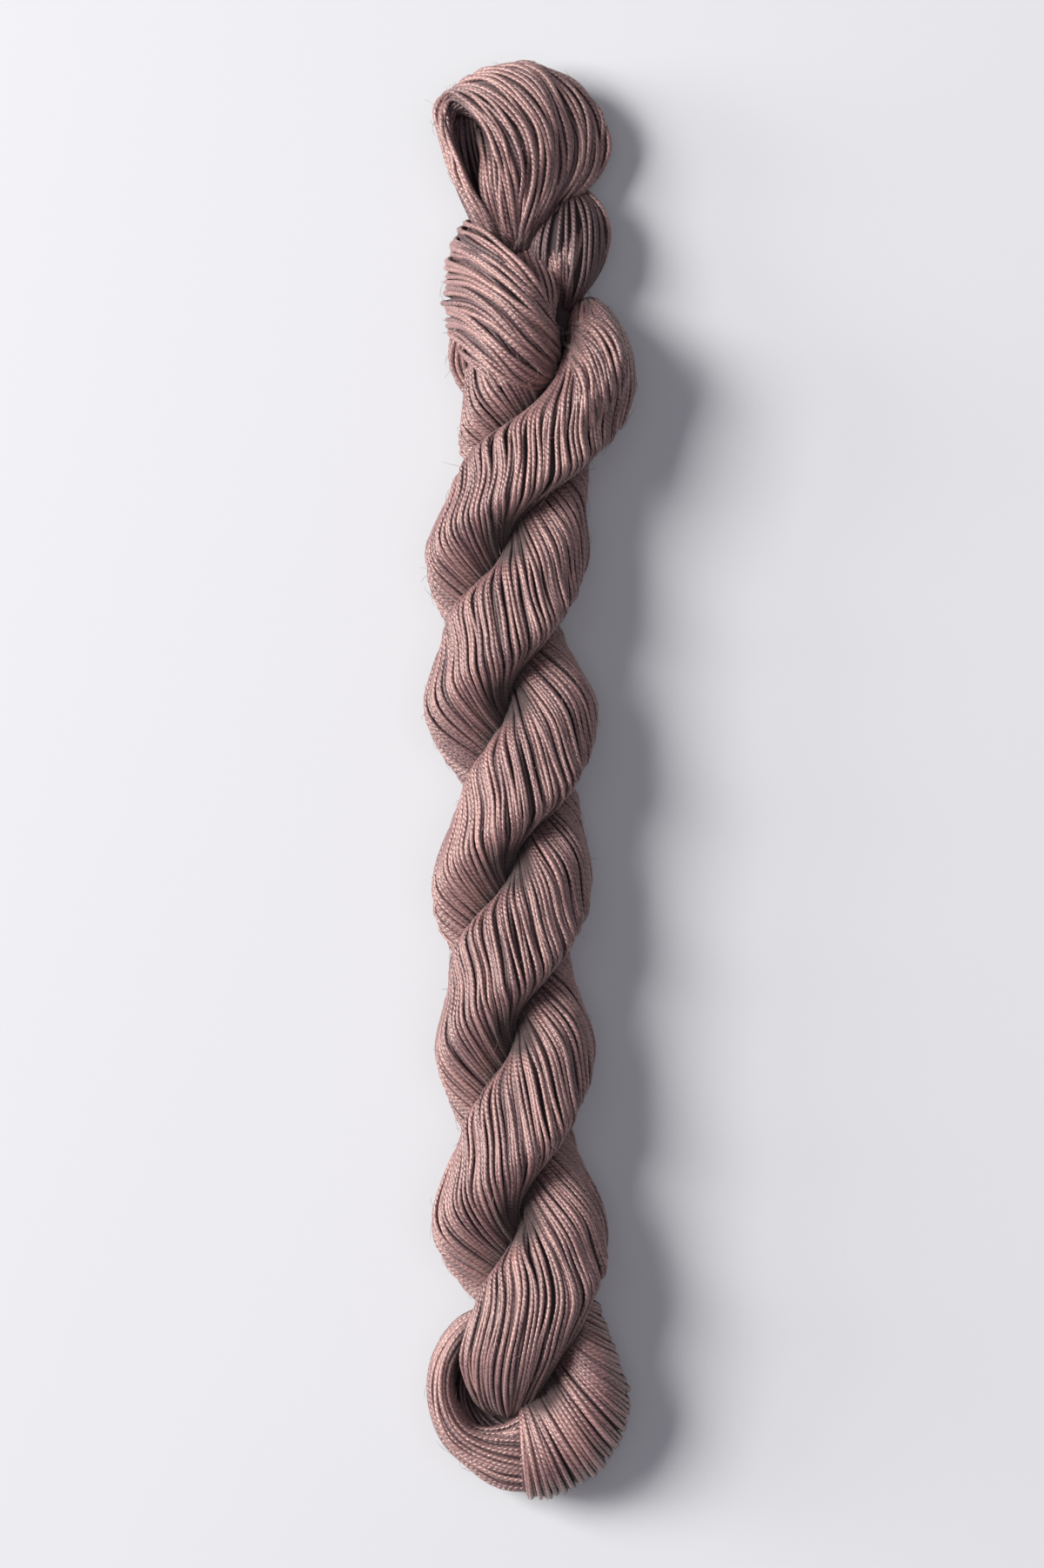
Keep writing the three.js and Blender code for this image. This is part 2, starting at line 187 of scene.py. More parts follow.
# %% Guide strands of the head
# the outer layer, from the eye outwards: up from below, over the edge and down to the neck
HEAD_GUIDES = np.array([
    [(-14.4, 134.0, 8.0), (-18.2, 136.4, 13.6), (-16.2, 138.2, 18.0), (-12.8, 135.0, 21.2),
     (-9.2, 130.8, 22.6), (-6.7, 125.9, 22.8), (-5.1, 120.6, 21.6), (-4.0, 113.6, 18.8),
     (-3.1, 105.4, 13.2)],
    [(-12.4, 137.4, 6.0), (-16.4, 139.2, 13.0), (-12.6, 139.9, 18.6), (-8.0, 136.8, 21.6),
     (-4.2, 131.4, 23.0), (-2.0, 125.6, 22.8), (-0.9, 119.8, 21.2), (-1.4, 112.6, 18.6),
     (-2.4, 105.2, 13.4)],
    [(-9.2, 138.8, 4.6), (-12.8, 142.0, 11.5), (-8.0, 142.4, 16.8), (-2.8, 139.3, 19.4),
     (2.0, 133.5, 20.6), (4.1, 127.2, 20.2), (3.8, 120.6, 18.8), (1.2, 113.1, 17.2),
     (-1.5, 105.6, 13.4)],
    [(-6.2, 140.2, 5.5), (-8.2, 144.0, 10.0), (-3.0, 144.6, 13.6), (2.4, 141.6, 15.6),
     (6.2, 135.6, 16.6), (7.9, 128.8, 16.2), (7.1, 121.8, 15.4), (3.2, 114.2, 14.8),
     (-0.6, 106.0, 12.8)],
    [(-1.6, 141.2, 5.5), (-2.2, 144.7, 9.0), (3.0, 144.5, 11.0), (7.8, 141.2, 12.0),
     (11.4, 135.8, 12.4), (12.8, 129.0, 12.2), (11.0, 122.0, 12.2), (5.6, 115.0, 12.6),
     (0.3, 106.4, 12.2)],
    [(2.8, 140.7, 5.0), (2.8, 144.4, 7.6), (8.0, 142.6, 8.4), (12.7, 138.8, 8.8),
     (15.8, 133.6, 9.0), (16.4, 127.8, 9.0), (13.9, 121.6, 9.4), (7.8, 115.4, 10.6),
     (1.0, 106.8, 11.0)],
])
# the thin left limb, from its outline to the eye
RIM_GUIDES = np.array([
    [(-13.0, 139.0, 8.0), (-17.6, 139.0, 12.0), (-19.2, 135.9, 13.0), (-18.7, 131.6, 13.4),
     (-17.8, 127.6, 13.6), (-16.4, 122.8, 13.8), (-14.7, 118.6, 14.0), (-12.5, 114.0, 14.0),
     (-8.4, 107.0, 12.0)],
    [(-12.5, 137.6, 10.0), (-16.6, 137.4, 15.6), (-17.6, 134.4, 18.2), (-17.1, 130.6, 19.2),
     (-16.2, 126.6, 19.6), (-14.4, 121.8, 20.2), (-12.2, 117.8, 20.2), (-9.4, 113.2, 19.2),
     (-5.6, 106.2, 14.8)],
    [(-11.5, 136.0, 11.0), (-15.0, 135.0, 15.8), (-15.4, 132.6, 17.6), (-14.6, 129.6, 18.6),
     (-13.7, 126.4, 19.2), (-12.1, 122.0, 19.8), (-10.3, 118.0, 19.8), (-7.8, 112.8, 18.8),
     (-4.8, 105.8, 14.4)],
])
# the strands that come up inside the eye and close it below
EYE_GUIDES = np.array([
    [(-11.6, 131.6, 9.0), (-10.7, 128.4, 13.6), (-10.3, 124.6, 16.8), (-10.1, 120.8, 18.8),
     (-9.3, 116.6, 19.0), (-7.4, 111.6, 17.6), (-4.7, 105.6, 13.4)],
    [(-9.4, 131.4, 12.0), (-8.4, 127.6, 16.6), (-7.8, 123.6, 19.2), (-7.5, 119.6, 19.9),
     (-6.6, 114.6, 18.8), (-5.2, 110.0, 17.0), (-3.6, 105.2, 13.2)],
    [(-6.6, 128.6, 17.0), (-5.9, 124.8, 20.0), (-5.6, 121.0, 20.6), (-5.0, 117.0, 19.8),
     (-4.2, 113.0, 18.2), (-3.4, 109.0, 16.2), (-2.8, 105.0, 13.2)],
])
print("guides over the head, its rim and its eye:", len(HEAD_GUIDES), len(RIM_GUIDES), len(EYE_GUIDES))

# %% [markdown]
# ## The collar
# The collar is the other end loop. It comes round the left side, crosses the front of the neck
# and dives into a pit on the right, and its return lies above that pit as a ball. Its guides
# start and end deep inside, so that no yarn end shows.

# %% Bundles of the collar
COLLAR_BAND = np.array([
    (5.2, 87.4, 6.6, 90, -66, 4.2, 2.0), (4.1, 88.4, 13.6, 90, -52, 7.8, 3.2),
    (1.2, 89.8, 20.8, 90, -24, 13.0, 4.4), (-4.9, 92.4, 23.2, 90, 6, 17.0, 4.6),
    (-10.7, 96.4, 20.0, 90, 45, 17.4, 4.6), (-13.5, 100.4, 13.5, 90, 90, 15.2, 4.5),
    (-10.8, 103.6, 6.8, 90, 140, 12.6, 4.3), (-3.2, 105.4, 4.4, 90, 180, 11.4, 4.2),
    (5.6, 107.1, 5.4, 90, 205, 10.4, 4.4), (10.0, 110.2, 9.5, 90, 240, 8.6, 4.0),
])
COLLAR_RETURN = np.array([
    (8.0, 120.0, 7.0, 180, -10, 3.4, 2.6), (8.4, 117.6, 8.6, 180, -12, 5.4, 4.6),
    (8.4, 114.0, 10.2, 180, -14, 7.4, 6.0), (7.8, 110.0, 11.2, 180, -16, 8.6, 6.8),
    (7.4, 105.7, 11.8, 180, -16, 8.8, 6.8), (7.3, 101.2, 11.6, 180, -14, 6.9, 6.2),
    (7.6, 97.8, 10.4, 180, -8, 4.0, 4.6), (7.6, 94.8, 8.2, 180, 0, 1.8, 3.0),
])
COLLAR_INNER = COLLAR_BAND * np.array([1, 1, 1, 1, 1, 0.70, 0.25])
print("sections in the collar and its return:", len(COLLAR_BAND), len(COLLAR_RETURN))

# %% Guide strands of the collar
# the outer layer, from its upper edge down: round the left side, over the front, into the pit
COLLAR_GUIDES = np.array([
    [(-11.0, 114.4, 5.0), (-13.6, 113.0, 12.0), (-9.8, 110.7, 18.4), (-5.3, 107.3, 22.0),
     (-0.3, 103.1, 23.6), (3.5, 97.8, 21.5), (5.8, 93.0, 16.0), (6.2, 91.0, 10.0)],
    [(-14.0, 108.6, 7.0), (-16.1, 107.3, 13.0), (-11.3, 105.0, 21.2), (-5.2, 100.5, 25.8),
     (0.3, 95.4, 26.4), (4.2, 90.8, 22.5), (6.3, 88.4, 16.0), (6.4, 87.2, 10.0)],
    [(-14.8, 102.0, 7.0), (-17.0, 101.2, 13.0), (-12.0, 99.8, 22.0), (-5.9, 95.7, 27.0),
     (-0.3, 90.4, 27.0), (3.9, 86.4, 22.5), (6.1, 84.6, 16.0), (6.0, 83.6, 10.0)],
    [(-15.0, 96.6, 7.0), (-17.2, 96.2, 12.8), (-12.7, 94.7, 21.2), (-6.9, 90.6, 26.4),
     (-1.5, 85.6, 26.0), (2.7, 82.2, 21.5), (5.2, 81.2, 15.5), (5.4, 80.6, 10.0)],
    [(-14.2, 91.6, 7.0), (-16.4, 91.3, 12.0), (-13.4, 89.6, 19.0), (-8.8, 85.6, 24.2),
     (-3.8, 81.6, 24.6), (0.8, 79.6, 21.0), (3.9, 79.6, 15.0), (4.6, 79.2, 10.0)],
    [(-13.0, 88.6, 7.0), (-14.9, 88.2, 10.0), (-13.4, 84.4, 15.5), (-9.8, 80.9, 20.2),
     (-5.7, 78.6, 21.6), (-1.1, 77.7, 19.5), (2.3, 78.2, 14.0), (3.4, 78.4, 9.0)],
])
# the loose group that hangs below it on the left
COLLAR_DROP_GUIDES = np.array([
    [(-13.2, 93.0, 17.0), (-15.6, 90.8, 15.0), (-16.7, 87.6, 13.0), (-16.7, 84.0, 11.4),
     (-15.0, 80.0, 10.6), (-11.5, 76.4, 10.0), (-7.2, 73.2, 9.0)],
    [(-10.6, 91.0, 18.0), (-12.2, 88.0, 16.0), (-12.8, 85.2, 14.6), (-12.2, 82.2, 13.6),
     (-10.0, 79.4, 13.2), (-6.8, 77.2, 12.8), (-3.4, 75.2, 12.0)],
])
# the return, from its left edge to its right outline
RETURN_GUIDES = np.array([
    [(-3.5, 108.5, 6.0), (-1.5, 107.3, 10.0), (0.4, 105.4, 13.5), (2.3, 102.3, 15.0),
     (3.9, 98.9, 14.0), (5.0, 96.5, 11.0), (5.6, 94.8, 8.0)],
    [(0.5, 113.5, 5.0), (2.0, 111.0, 9.4), (2.8, 107.7, 14.6), (3.9, 103.1, 17.5),
     (5.0, 99.3, 15.5), (5.7, 96.8, 12.0), (6.1, 95.0, 8.0)],
    [(4.0, 118.0, 5.0), (5.4, 114.9, 9.0), (6.2, 109.9, 15.4), (6.5, 104.6, 18.3),
     (6.5, 100.2, 16.0), (6.5, 97.2, 12.2), (6.5, 95.0, 8.0)],
    [(6.8, 121.0, 5.0), (8.8, 117.6, 8.6), (10.8, 112.6, 14.2), (11.1, 106.9, 16.5),
     (9.6, 101.0, 14.6), (8.0, 97.3, 11.5), (7.0, 95.0, 8.0)],
    [(8.5, 122.5, 5.0), (12.0, 119.6, 8.5), (15.3, 115.4, 10.0), (16.7, 109.9, 10.5),
     (15.3, 104.0, 10.0), (11.6, 99.2, 9.0), (7.7, 95.1, 8.0)],
])
# the first ply's top, which fans out of the pit, from the outline inwards: each mark is a place
# in plan and a height above the ply's own top
CAP_GUIDES = np.array([
    [(7.4, 94.4, -8.0), (9.6, 97.6, -6.5), (13.0, 98.0, -4.0), (17.0, 94.4, -4.0),
     (19.7, 89.4, -3.0), (20.6, 83.6, -3.0), (20.2, 77.0, -4.5)],
    [(7.3, 93.4, -8.0), (9.7, 95.3, -4.0), (12.8, 95.4, -1.2), (16.2, 92.4, 0.0),
     (18.7, 87.8, 0.5), (19.6, 82.4, 0.4), (19.3, 76.0, -1.6)],
    [(7.3, 92.4, -8.0), (9.4, 93.2, -2.6), (12.0, 92.6, 0.0), (14.9, 89.8, 0.7),
     (17.0, 85.6, 0.7), (17.9, 80.6, 0.3), (17.6, 74.6, -2.2)],
    [(7.3, 91.0, -8.0), (8.9, 90.4, -1.8), (11.0, 88.8, 0.3), (13.1, 86.1, 0.7),
     (14.6, 82.4, 0.6), (15.3, 78.0, 0.2), (15.2, 72.6, -2.2)],
    [(7.2, 88.8, -7.0), (8.4, 87.4, -1.4), (9.9, 85.3, 0.3), (11.4, 82.5, 0.7),
     (12.4, 79.1, 0.6), (12.8, 75.2, 0.1), (12.6, 70.2, -2.2)],
    [(6.8, 85.8, -6.0), (7.7, 84.0, -1.2), (8.6, 81.9, 0.3), (9.5, 79.3, 0.6),
     (10.1, 76.4, 0.5), (10.2, 72.8, 0.1), (9.8, 68.4, -2.2)],
])
print("guides over the collar, its drop, its return and the ply below:",
      len(COLLAR_GUIDES), len(COLLAR_DROP_GUIDES), len(RETURN_GUIDES), len(CAP_GUIDES))

# %% [markdown]
# ## The fold at the foot
# At the foot the skein is simply bent back. Its right bundle fans out from under the second
# ply, and an arc goes round a pit on the left. An arc is easiest to describe by its angle and
# distance from the pit, so its tables hold those and a helper turns them into sections.

# %% Bundles of the fold
FOLD_RIGHT = np.array([
    (9.6, -102.6, 8.8, -28, 0, 5.2, 5.6), (9.8, -107.4, 9.8, -28, 0, 7.4, 8.0),
    (10.5, -111.3, 10.4, -31, 0, 8.8, 9.6), (11.4, -114.6, 10.6, -36, 0, 10.0, 10.2),
    (12.4, -118.2, 10.6, -42, 0, 10.6, 10.5), (12.2, -122.9, 10.5, -49, 0, 10.9, 10.5),
    (10.1, -126.9, 10.3, -54, 0, 11.3, 10.3), (6.6, -130.8, 10.0, -59, 0, 11.3, 9.9),
    (2.8, -133.4, 9.7, -68, 0, 10.9, 9.5), (0.4, -134.6, 9.4, -78, 0, 10.2, 9.0),
    (-1.4, -134.9, 9.2, -88, 0, 9.0, 8.0),
])
FOLD_PIT = np.array([-0.7, -124.6])       # middle of the pit in plan
# angle, distance out, z, wide, deep
FOLD_ARC = np.array([
    (108, 19.0, 11.0, 1.6, 5.0), (128, 18.9, 10.4, 2.2, 6.4), (155, 18.0, 9.6, 2.5, 7.2),
    (182, 16.5, 9.0, 3.1, 7.6), (208, 14.9, 8.8, 4.0, 7.8), (233, 11.9, 8.8, 6.1, 8.0),
    (256, 10.5, 8.8, 8.1, 8.2), (278, 10.5, 8.8, 8.2, 7.8),
])
# a low inner ring that shows in the shade between the arc and the second ply
FOLD_INNER = np.array([
    (104, 13.5, 4.4, 3.0, 3.4), (150, 12.6, 4.4, 4.2, 3.6), (190, 11.4, 4.4, 4.6, 3.8),
    (228, 9.4, 4.8, 4.8, 4.2), (262, 7.6, 5.0, 4.6, 4.4),
])


def around_pit(rows):
    """Sections on a ring about the pit: centre = pit + out * (cos angle, sin angle)."""
    angle, out, z, wide, deep = rows.T
    x = FOLD_PIT[0] + out * np.cos(np.radians(angle))
    y = FOLD_PIT[1] + out * np.sin(np.radians(angle))
    return np.stack([x, y, z, angle, 0 * angle, wide, deep], axis=1)


print("sections in the fold:", len(FOLD_RIGHT), len(FOLD_ARC), len(FOLD_INNER))

# %% [markdown]
# ## From tables to smooth bundles
# A cubic runs through every column of a table, with the distance along the centres as its
# parameter. At any place it gives a centre and two half axes, and a point on the wall of the
# bundle is centre + wide * cos + deep * sin, with the shoulders of the ellipse pushed out.

# %% Smooth sections
TURN = 2 * math.pi
FULLNESS = 2.05                           # power of the section: 2 is an ellipse, more is squarer


def distances(rows):
    """Distance along the centres, from the first row: the running sum of the steps' lengths."""
    steps = np.linalg.norm(np.diff(rows[:, :3], axis=0), axis=1)
    return np.concatenate([[0.0], np.cumsum(steps)])


def smooth(rows, s, places=None):
    """Every column at the places s: a Hermite cubic, whose slope at a row is that of the
    parabola through the row and its two neighbours. A row's own place is its distance along
    the centres, unless places are given."""
    if places is None:
        places = distances(rows)
    gaps = np.diff(places)[:, None]
    slopes = np.diff(rows, axis=0) / gaps
    inner = (gaps[1:] * slopes[:-1] + gaps[:-1] * slopes[1:]) / (gaps[1:] + gaps[:-1])
    tangents = np.concatenate([slopes[:1], inner, slopes[-1:]])
    i = np.clip(np.searchsorted(places, s, side="right") - 1, 0, len(rows) - 2)
    f = ((s - places[i]) / gaps[i, 0])[:, None]
    g = 1 - f
    return (rows[i] * g * g * (1 + 2 * f) + rows[i + 1] * f * f * (1 + 2 * g)
            + gaps[i] * f * g * (tangents[i] * g - tangents[i + 1] * f))


def half_axes(values):
    """Centre, and unit wide and deep directions, of each section: the wide axis points along
    face in plan, and both are then rolled by turn about Y."""
    face, turn = np.radians(values[:, 3]), np.radians(values[:, 4])
    zero = np.zeros(len(values))
    wide = np.stack([np.cos(face) * np.cos(turn), np.sin(face), np.cos(face) * np.sin(turn)], 1)
    deep = np.stack([-np.sin(turn), zero, np.cos(turn)], 1)
    return values[:, :3], wide, deep


def shoulder(value):
    """A cosine or sine raised to the power 2 / fullness, keeping its sign."""
    return np.sign(value) * np.abs(value) ** (2 / FULLNESS)


print("length of the two plies, mm:", distances(PLY_ONE)[-1].round(), distances(PLY_TWO)[-1].round())

# %% [markdown]
# ## Places on a bundle's wall
# Equal steps of angle would crowd the yarns at the sharp ends of a flat section. So the way
# round each section is measured in small steps, and a yarn's share of it is turned into an
# angle. The wall function then gives the point at that angle and the direction out of it.

# %% Wall of a bundle
THINNEST_BUNDLE = 0.12                    # mm that is left of a half size, however deep the inset
WALL_SAMPLES = 144                        # steps in which the way round a section is measured


def even_angles(values, share):
    """The section angles at which each share (0 to 1) of the way round a section is reached, so
    that yarns lie evenly on it. share has one row for each section."""
    angle = np.linspace(0, TURN, WALL_SAMPLES + 1)
    across = values[:, 5, None] * shoulder(np.cos(angle))
    up = values[:, 6, None] * shoulder(np.sin(angle))
    steps = np.hypot(np.diff(across, axis=1), np.diff(up, axis=1))
    way = np.concatenate([np.zeros((len(values), 1)), np.cumsum(steps, axis=1)], axis=1)
    whole = np.floor(share)
    found = [np.interp(part, row / row[-1], angle) for part, row in zip(share - whole, way)]
    return np.array(found) + TURN * whole, way[:, -1]


def wall(values, angle, inset):
    """Points on the wall of a bundle, inset mm below it, and the outward direction there.
    angle and inset have one row for each section and one column for each yarn."""
    centre, wide, deep = half_axes(values)
    half_wide = np.maximum(values[:, 5, None] - inset, THINNEST_BUNDLE)
    half_deep = np.maximum(values[:, 6, None] - inset, THINNEST_BUNDLE)
    across = (half_wide * shoulder(np.cos(angle)))[..., None] * wide[:, None]
    up = (half_deep * shoulder(np.sin(angle)))[..., None] * deep[:, None]
    out = ((np.cos(angle) / half_wide)[..., None] * wide[:, None]
           + (np.sin(angle) / half_deep)[..., None] * deep[:, None])
    out /= np.linalg.norm(out, axis=-1, keepdims=True)
    return centre[:, None] + across + up, out


print("steps round a section:", WALL_SAMPLES)

# %% [markdown]
# ## From arrays to a mesh
# Nearly a thousand yarns would be slow to make one face at a time. So all the points and faces
# of a bundle's yarns are worked out as arrays, and one call for each array fills the mesh. The
# points are in millimetres up to here, and become metres on the way in.

# %% A mesh from arrays
def mesh_object(name, points, quads, ends, maps, tones, cover):
    """A mesh object in metres from points in mm, four-sided faces, end faces of equal size, one
    UV map for each name in maps (a value for each face corner), and for each point a tone and
    a painted shade value, which is 0 on the outside of the hank and 1 deep in a groove."""
    mesh = bpy.data.meshes.new(name)
    corners = np.concatenate([quads.ravel(), ends.ravel()]).astype(np.int32)
    sizes = np.concatenate([np.full(len(quads), 4), np.full(len(ends), ends.shape[1])])
    starts = np.concatenate([[0], np.cumsum(sizes)[:-1]]).astype(np.int32)
    mesh.vertices.add(len(points))
    mesh.loops.add(len(corners))
    mesh.polygons.add(len(sizes))
    mesh.vertices.foreach_set("co", ((points + HOME) * MM).astype(np.float32).ravel())
    mesh.loops.foreach_set("vertex_index", corners)
    mesh.polygons.foreach_set("loop_start", starts)
    mesh.update(calc_edges=True)
    mesh.validate()
    mesh.polygons.foreach_set("use_smooth", np.ones(len(sizes), dtype=bool))
    for map_name, values in maps.items():
        layer = mesh.uv_layers.new(name=map_name)
        layer.uv.foreach_set("vector", values.astype(np.float32).ravel())
    for attribute_name, values in (("tone", tones), ("cover", cover)):
        attribute = mesh.attributes.new(attribute_name, "FLOAT", "POINT")
        attribute.data.foreach_set("value", values.astype(np.float32))
    piece = bpy.data.objects.new(name, mesh)
    bpy.context.scene.collection.objects.link(piece)
    return piece


# %% [markdown]
# ## Yarns as tubes
# A yarn is a tube along its own line of points. Its rings stand square to the line, and both
# ends are closed. The pattern on it has to follow it, so one UV map counts millimetres along
# the yarn and turns around it. A second map gives every yarn a strip of its own, so that a
# colour can be baked on it without touching a neighbour's.

# %% Tubes and their maps
STRIP_MARGIN = 0.12                       # share of a yarn's strip left free on either side
ABOVE_TABLE = 0.02                        # mm
SHORTEST = 1e-12                          # keeps a vector of no length from dividing by zero
LAID = {}                                 # lines, outward directions and radii, by piece


def unit(vectors):
    """Vectors divided by their lengths."""
    return vectors / np.maximum(np.linalg.norm(vectors, axis=-1, keepdims=True), SHORTEST)


def yarn_maps(lines, sides, end_count):
    """The map "yarn" = (mm along, turns around), with 0 on the ends, and the map "OFBake" =
    (share of the longest yarn, place in the yarn's strip)."""
    count, steps = lines.shape[:2]
    length = np.concatenate([np.zeros((count, 1)), np.cumsum(
        np.linalg.norm(np.diff(lines, axis=1), axis=-1), axis=1)], axis=1)
    low = np.broadcast_to(np.arange(sides)[None, None], (count, steps - 1, sides)) / sides
    high = low + 1 / sides
    near = np.broadcast_to(length[:, :-1, None], low.shape)
    far = np.broadcast_to(length[:, 1:, None], low.shape)
    along = np.stack([near, near, far, far], -1)
    pattern = np.stack([along, np.stack([low, high, high, low], -1)], -1).reshape(-1, 2)
    longest = length[:, -1].max()
    strip = np.arange(count)[:, None, None]
    strip_low = (strip + STRIP_MARGIN + (1 - 2 * STRIP_MARGIN) * low) / count
    strip_high = (strip + STRIP_MARGIN + (1 - 2 * STRIP_MARGIN) * high) / count
    across = np.stack([strip_low, strip_high, strip_high, strip_low], -1)
    bake = np.stack([along / longest, across], -1).reshape(-1, 2)
    end_pattern = np.zeros((end_count * sides, 2))
    end_strip = np.repeat((np.tile(np.arange(count), 2) + 0.5) / count, sides)
    end_place = np.repeat(np.concatenate([np.zeros(count), length[:, -1] / longest]), sides)
    return {
        "yarn": np.concatenate([pattern, end_pattern]),
        "OFBake": np.concatenate([bake, np.stack([end_place, end_strip], -1)]),
    }


def tubes(name, lines, out, radius, tones, sides, cover=None):
    """Closed tubes along lines (yarn, step, xyz): each ring is the line's point plus radius *
    (cos a * out + sin a * side), where side is square to the line and to out."""
    count, steps = lines.shape[:2]
    lines = lines.copy()
    lines[..., 2] = np.maximum(lines[..., 2], radius + ABOVE_TABLE)
    ahead = unit(np.gradient(lines, axis=1))
    out = unit(out - (out * ahead).sum(-1, keepdims=True) * ahead)
    side = np.cross(ahead, out)
    LAID[name] = (lines, out, radius)
    a = np.arange(sides) / sides * TURN
    ring = (out[:, :, None] * np.cos(a)[:, None] + side[:, :, None] * np.sin(a)[:, None])
    points = lines[:, :, None] + radius[:, :, None, None] * ring
    index = np.arange(count * steps * sides).reshape(count, steps, sides)
    after = np.roll(index, -1, axis=2)
    quads = np.stack([index[:, :-1], after[:, :-1], after[:, 1:], index[:, 1:]], -1)
    quads = quads.reshape(-1, 4)
    ends = np.concatenate([index[:, 0, ::-1], index[:, -1]])
    tone = np.repeat(tones, steps * sides)
    cover = np.zeros((count, steps)) if cover is None else cover
    maps = yarn_maps(lines, sides, len(ends))
    return mesh_object(name, points.reshape(-1, 3), quads, ends, maps, tone,
                       np.repeat(cover, sides))


print("free share of a yarn's strip:", round(2 * STRIP_MARGIN, 2))

# %% [markdown]
# ## Uneven, in a repeatable way
# Hand-wound yarn is never laid evenly. It wanders, gathers in groups of two or three, swells
# and thins. All of that is random, but from one seeded generator, so that the hank is the same
# each time. The pieces are always made in the same order, because each takes its turn at it.

# %% Seeded unevenness
SEED = 20
YARN_RADIUS = 0.44
THINNEST, THICKEST = 0.3, 0.8             # limits of a yarn's radius, mm
SWELL = 0.07                              # share by which a yarn swells and thins
SWELL_LENGTHS = (6, 30)                   # shortest and longest swell, mm
NEW_GROUP = 0.45                          # chance that a yarn starts a group of its own
BIGGEST_GROUP = 4
rng = np.random.default_rng(SEED)


def waves(count, s, amplitude, shortest, longest, terms=3):
    """Smooth random wander, one row for each yarn: a sum of sines with random phases, lengths
    between shortest and longest, and the given root-mean-square size."""
    total = np.zeros((count, len(s)))
    for _ in range(terms):
        length = rng.uniform(shortest, longest, (count, 1))
        total += np.sin(TURN * (s / length + rng.uniform(0, 1, (count, 1))))
    return total * amplitude * math.sqrt(2 / terms)


def gather(places, strength):
    """Yarns lie in small groups: each place moves by strength of the way to the middle of its
    group, unless the group is too big to be one."""
    group = np.cumsum(rng.uniform(0, 1, len(places)) < NEW_GROUP)
    size = np.bincount(group)
    middle = np.bincount(group, weights=places)[group] / np.maximum(size[group], 1)
    return places + strength * (middle - places) * (size[group] <= BIGGEST_GROUP)


def regroup(places, strength, blend):
    """Groups change along the yarns, which opens wedge-shaped gaps: each place moves towards
    one grouping where blend is 1 and towards another where it is 0."""
    one = gather(places, strength) - places
    other = gather(places, strength) - places
    return places + one * blend + other * (1 - blend)


def thickness(count, s, radius, differ):
    """Radius * (1 + swell along the yarn + the yarn's own difference), within its limits."""
    swell = waves(count, s, SWELL, *SWELL_LENGTHS)
    thick = radius * (1 + swell + rng.normal(0, differ, (count, 1)))
    return np.clip(thick, THINNEST, THICKEST)


print("a yarn's radius, mm:", YARN_RADIUS, "and its limits:", THINNEST, THICKEST)

# %% [markdown]
# ## Yarn under tension
# A skein is twisted tightly, so its yarns take the shortest way over the bundle. This could be
# left to a cloth simulation. Here each point simply slides along the wall towards the middle of
# its neighbours, a few times over, which gives the same straight run and is the same each time.

# %% Draw taut
TAUT_ROUNDS = 16
SLIDE_SHARE = 0.9                         # share of the way that a point moves in a round
SMALL_ANGLE = 0.02


def draw_taut(values, share):
    """In each round every point moves along the wall by a share of the way to the middle of its
    two neighbours: share + slide share * (middle - point) . slide direction / way round."""
    for _ in range(TAUT_ROUNDS):
        angle, way = even_angles(values, share)
        points, _ = wall(values, angle, np.zeros(angle.shape))
        beside, _ = wall(values, angle + SMALL_ANGLE, np.zeros(angle.shape))
        slide = unit(beside - points)
        middle = (points[:-2] + points[2:]) / 2
        move = ((middle - points[1:-1]) * slide[1:-1]).sum(-1)
        share = share.copy()
        share[1:-1] += SLIDE_SHARE * move / way[1:-1, None]
    return share


print("rounds of drawing taut:", TAUT_ROUNDS)

# %% [markdown]
# ## Shade in the grooves
# Where one ply dips under the other, hardly any light reaches the yarns. A renderer works part
# of that out, but it can't see the thousands of fibres that close such a gap. So each point
# also gets a painted shade value, from 0 in the open to 1 deep in a groove or pit, which later
# darkens its colour as painted shade. It reaches further up the flanks turned away from the
# window light.

# %% Cover
GROOVE_REACH = 6.0                        # mm from the other ply at which its painted shade ends
GROOVE_POWER = 1.5
OPEN_REACH, TURNED_AWAY_REACH = 0.75, 1.1       # share of the reach on any flank, and more on a flank turned away from the window light
DENSE = 800                               # places at which the other ply is worked out

# the plies cross, and leave a deep pit, on the cord's axis at every other beat
CROSSINGS = BEATS[1::2, [1, 0]] + np.array([-0.4, 0.5])
PIT_REACH = 6.5
PIT_STRENGTH = 1.8                        # above 1, so that the painted shade in the middle of a pit is dark all over


def pit_painted_shade(points, pits, reach):
    """Painted shade round the pits: strength times 1 - distance / reach in plan, held between 0 and 1.
    """
    gaps = np.linalg.norm(points[..., None, :2] - pits, axis=-1).min(axis=-1)
    return np.clip(PIT_STRENGTH * (1 - gaps / reach), 0, 1)


AWAY_FROM_LIGHT = np.array([0.88, -0.48, 0.0])   # plan direction away from the window light: flanks that face it get painted shade further up
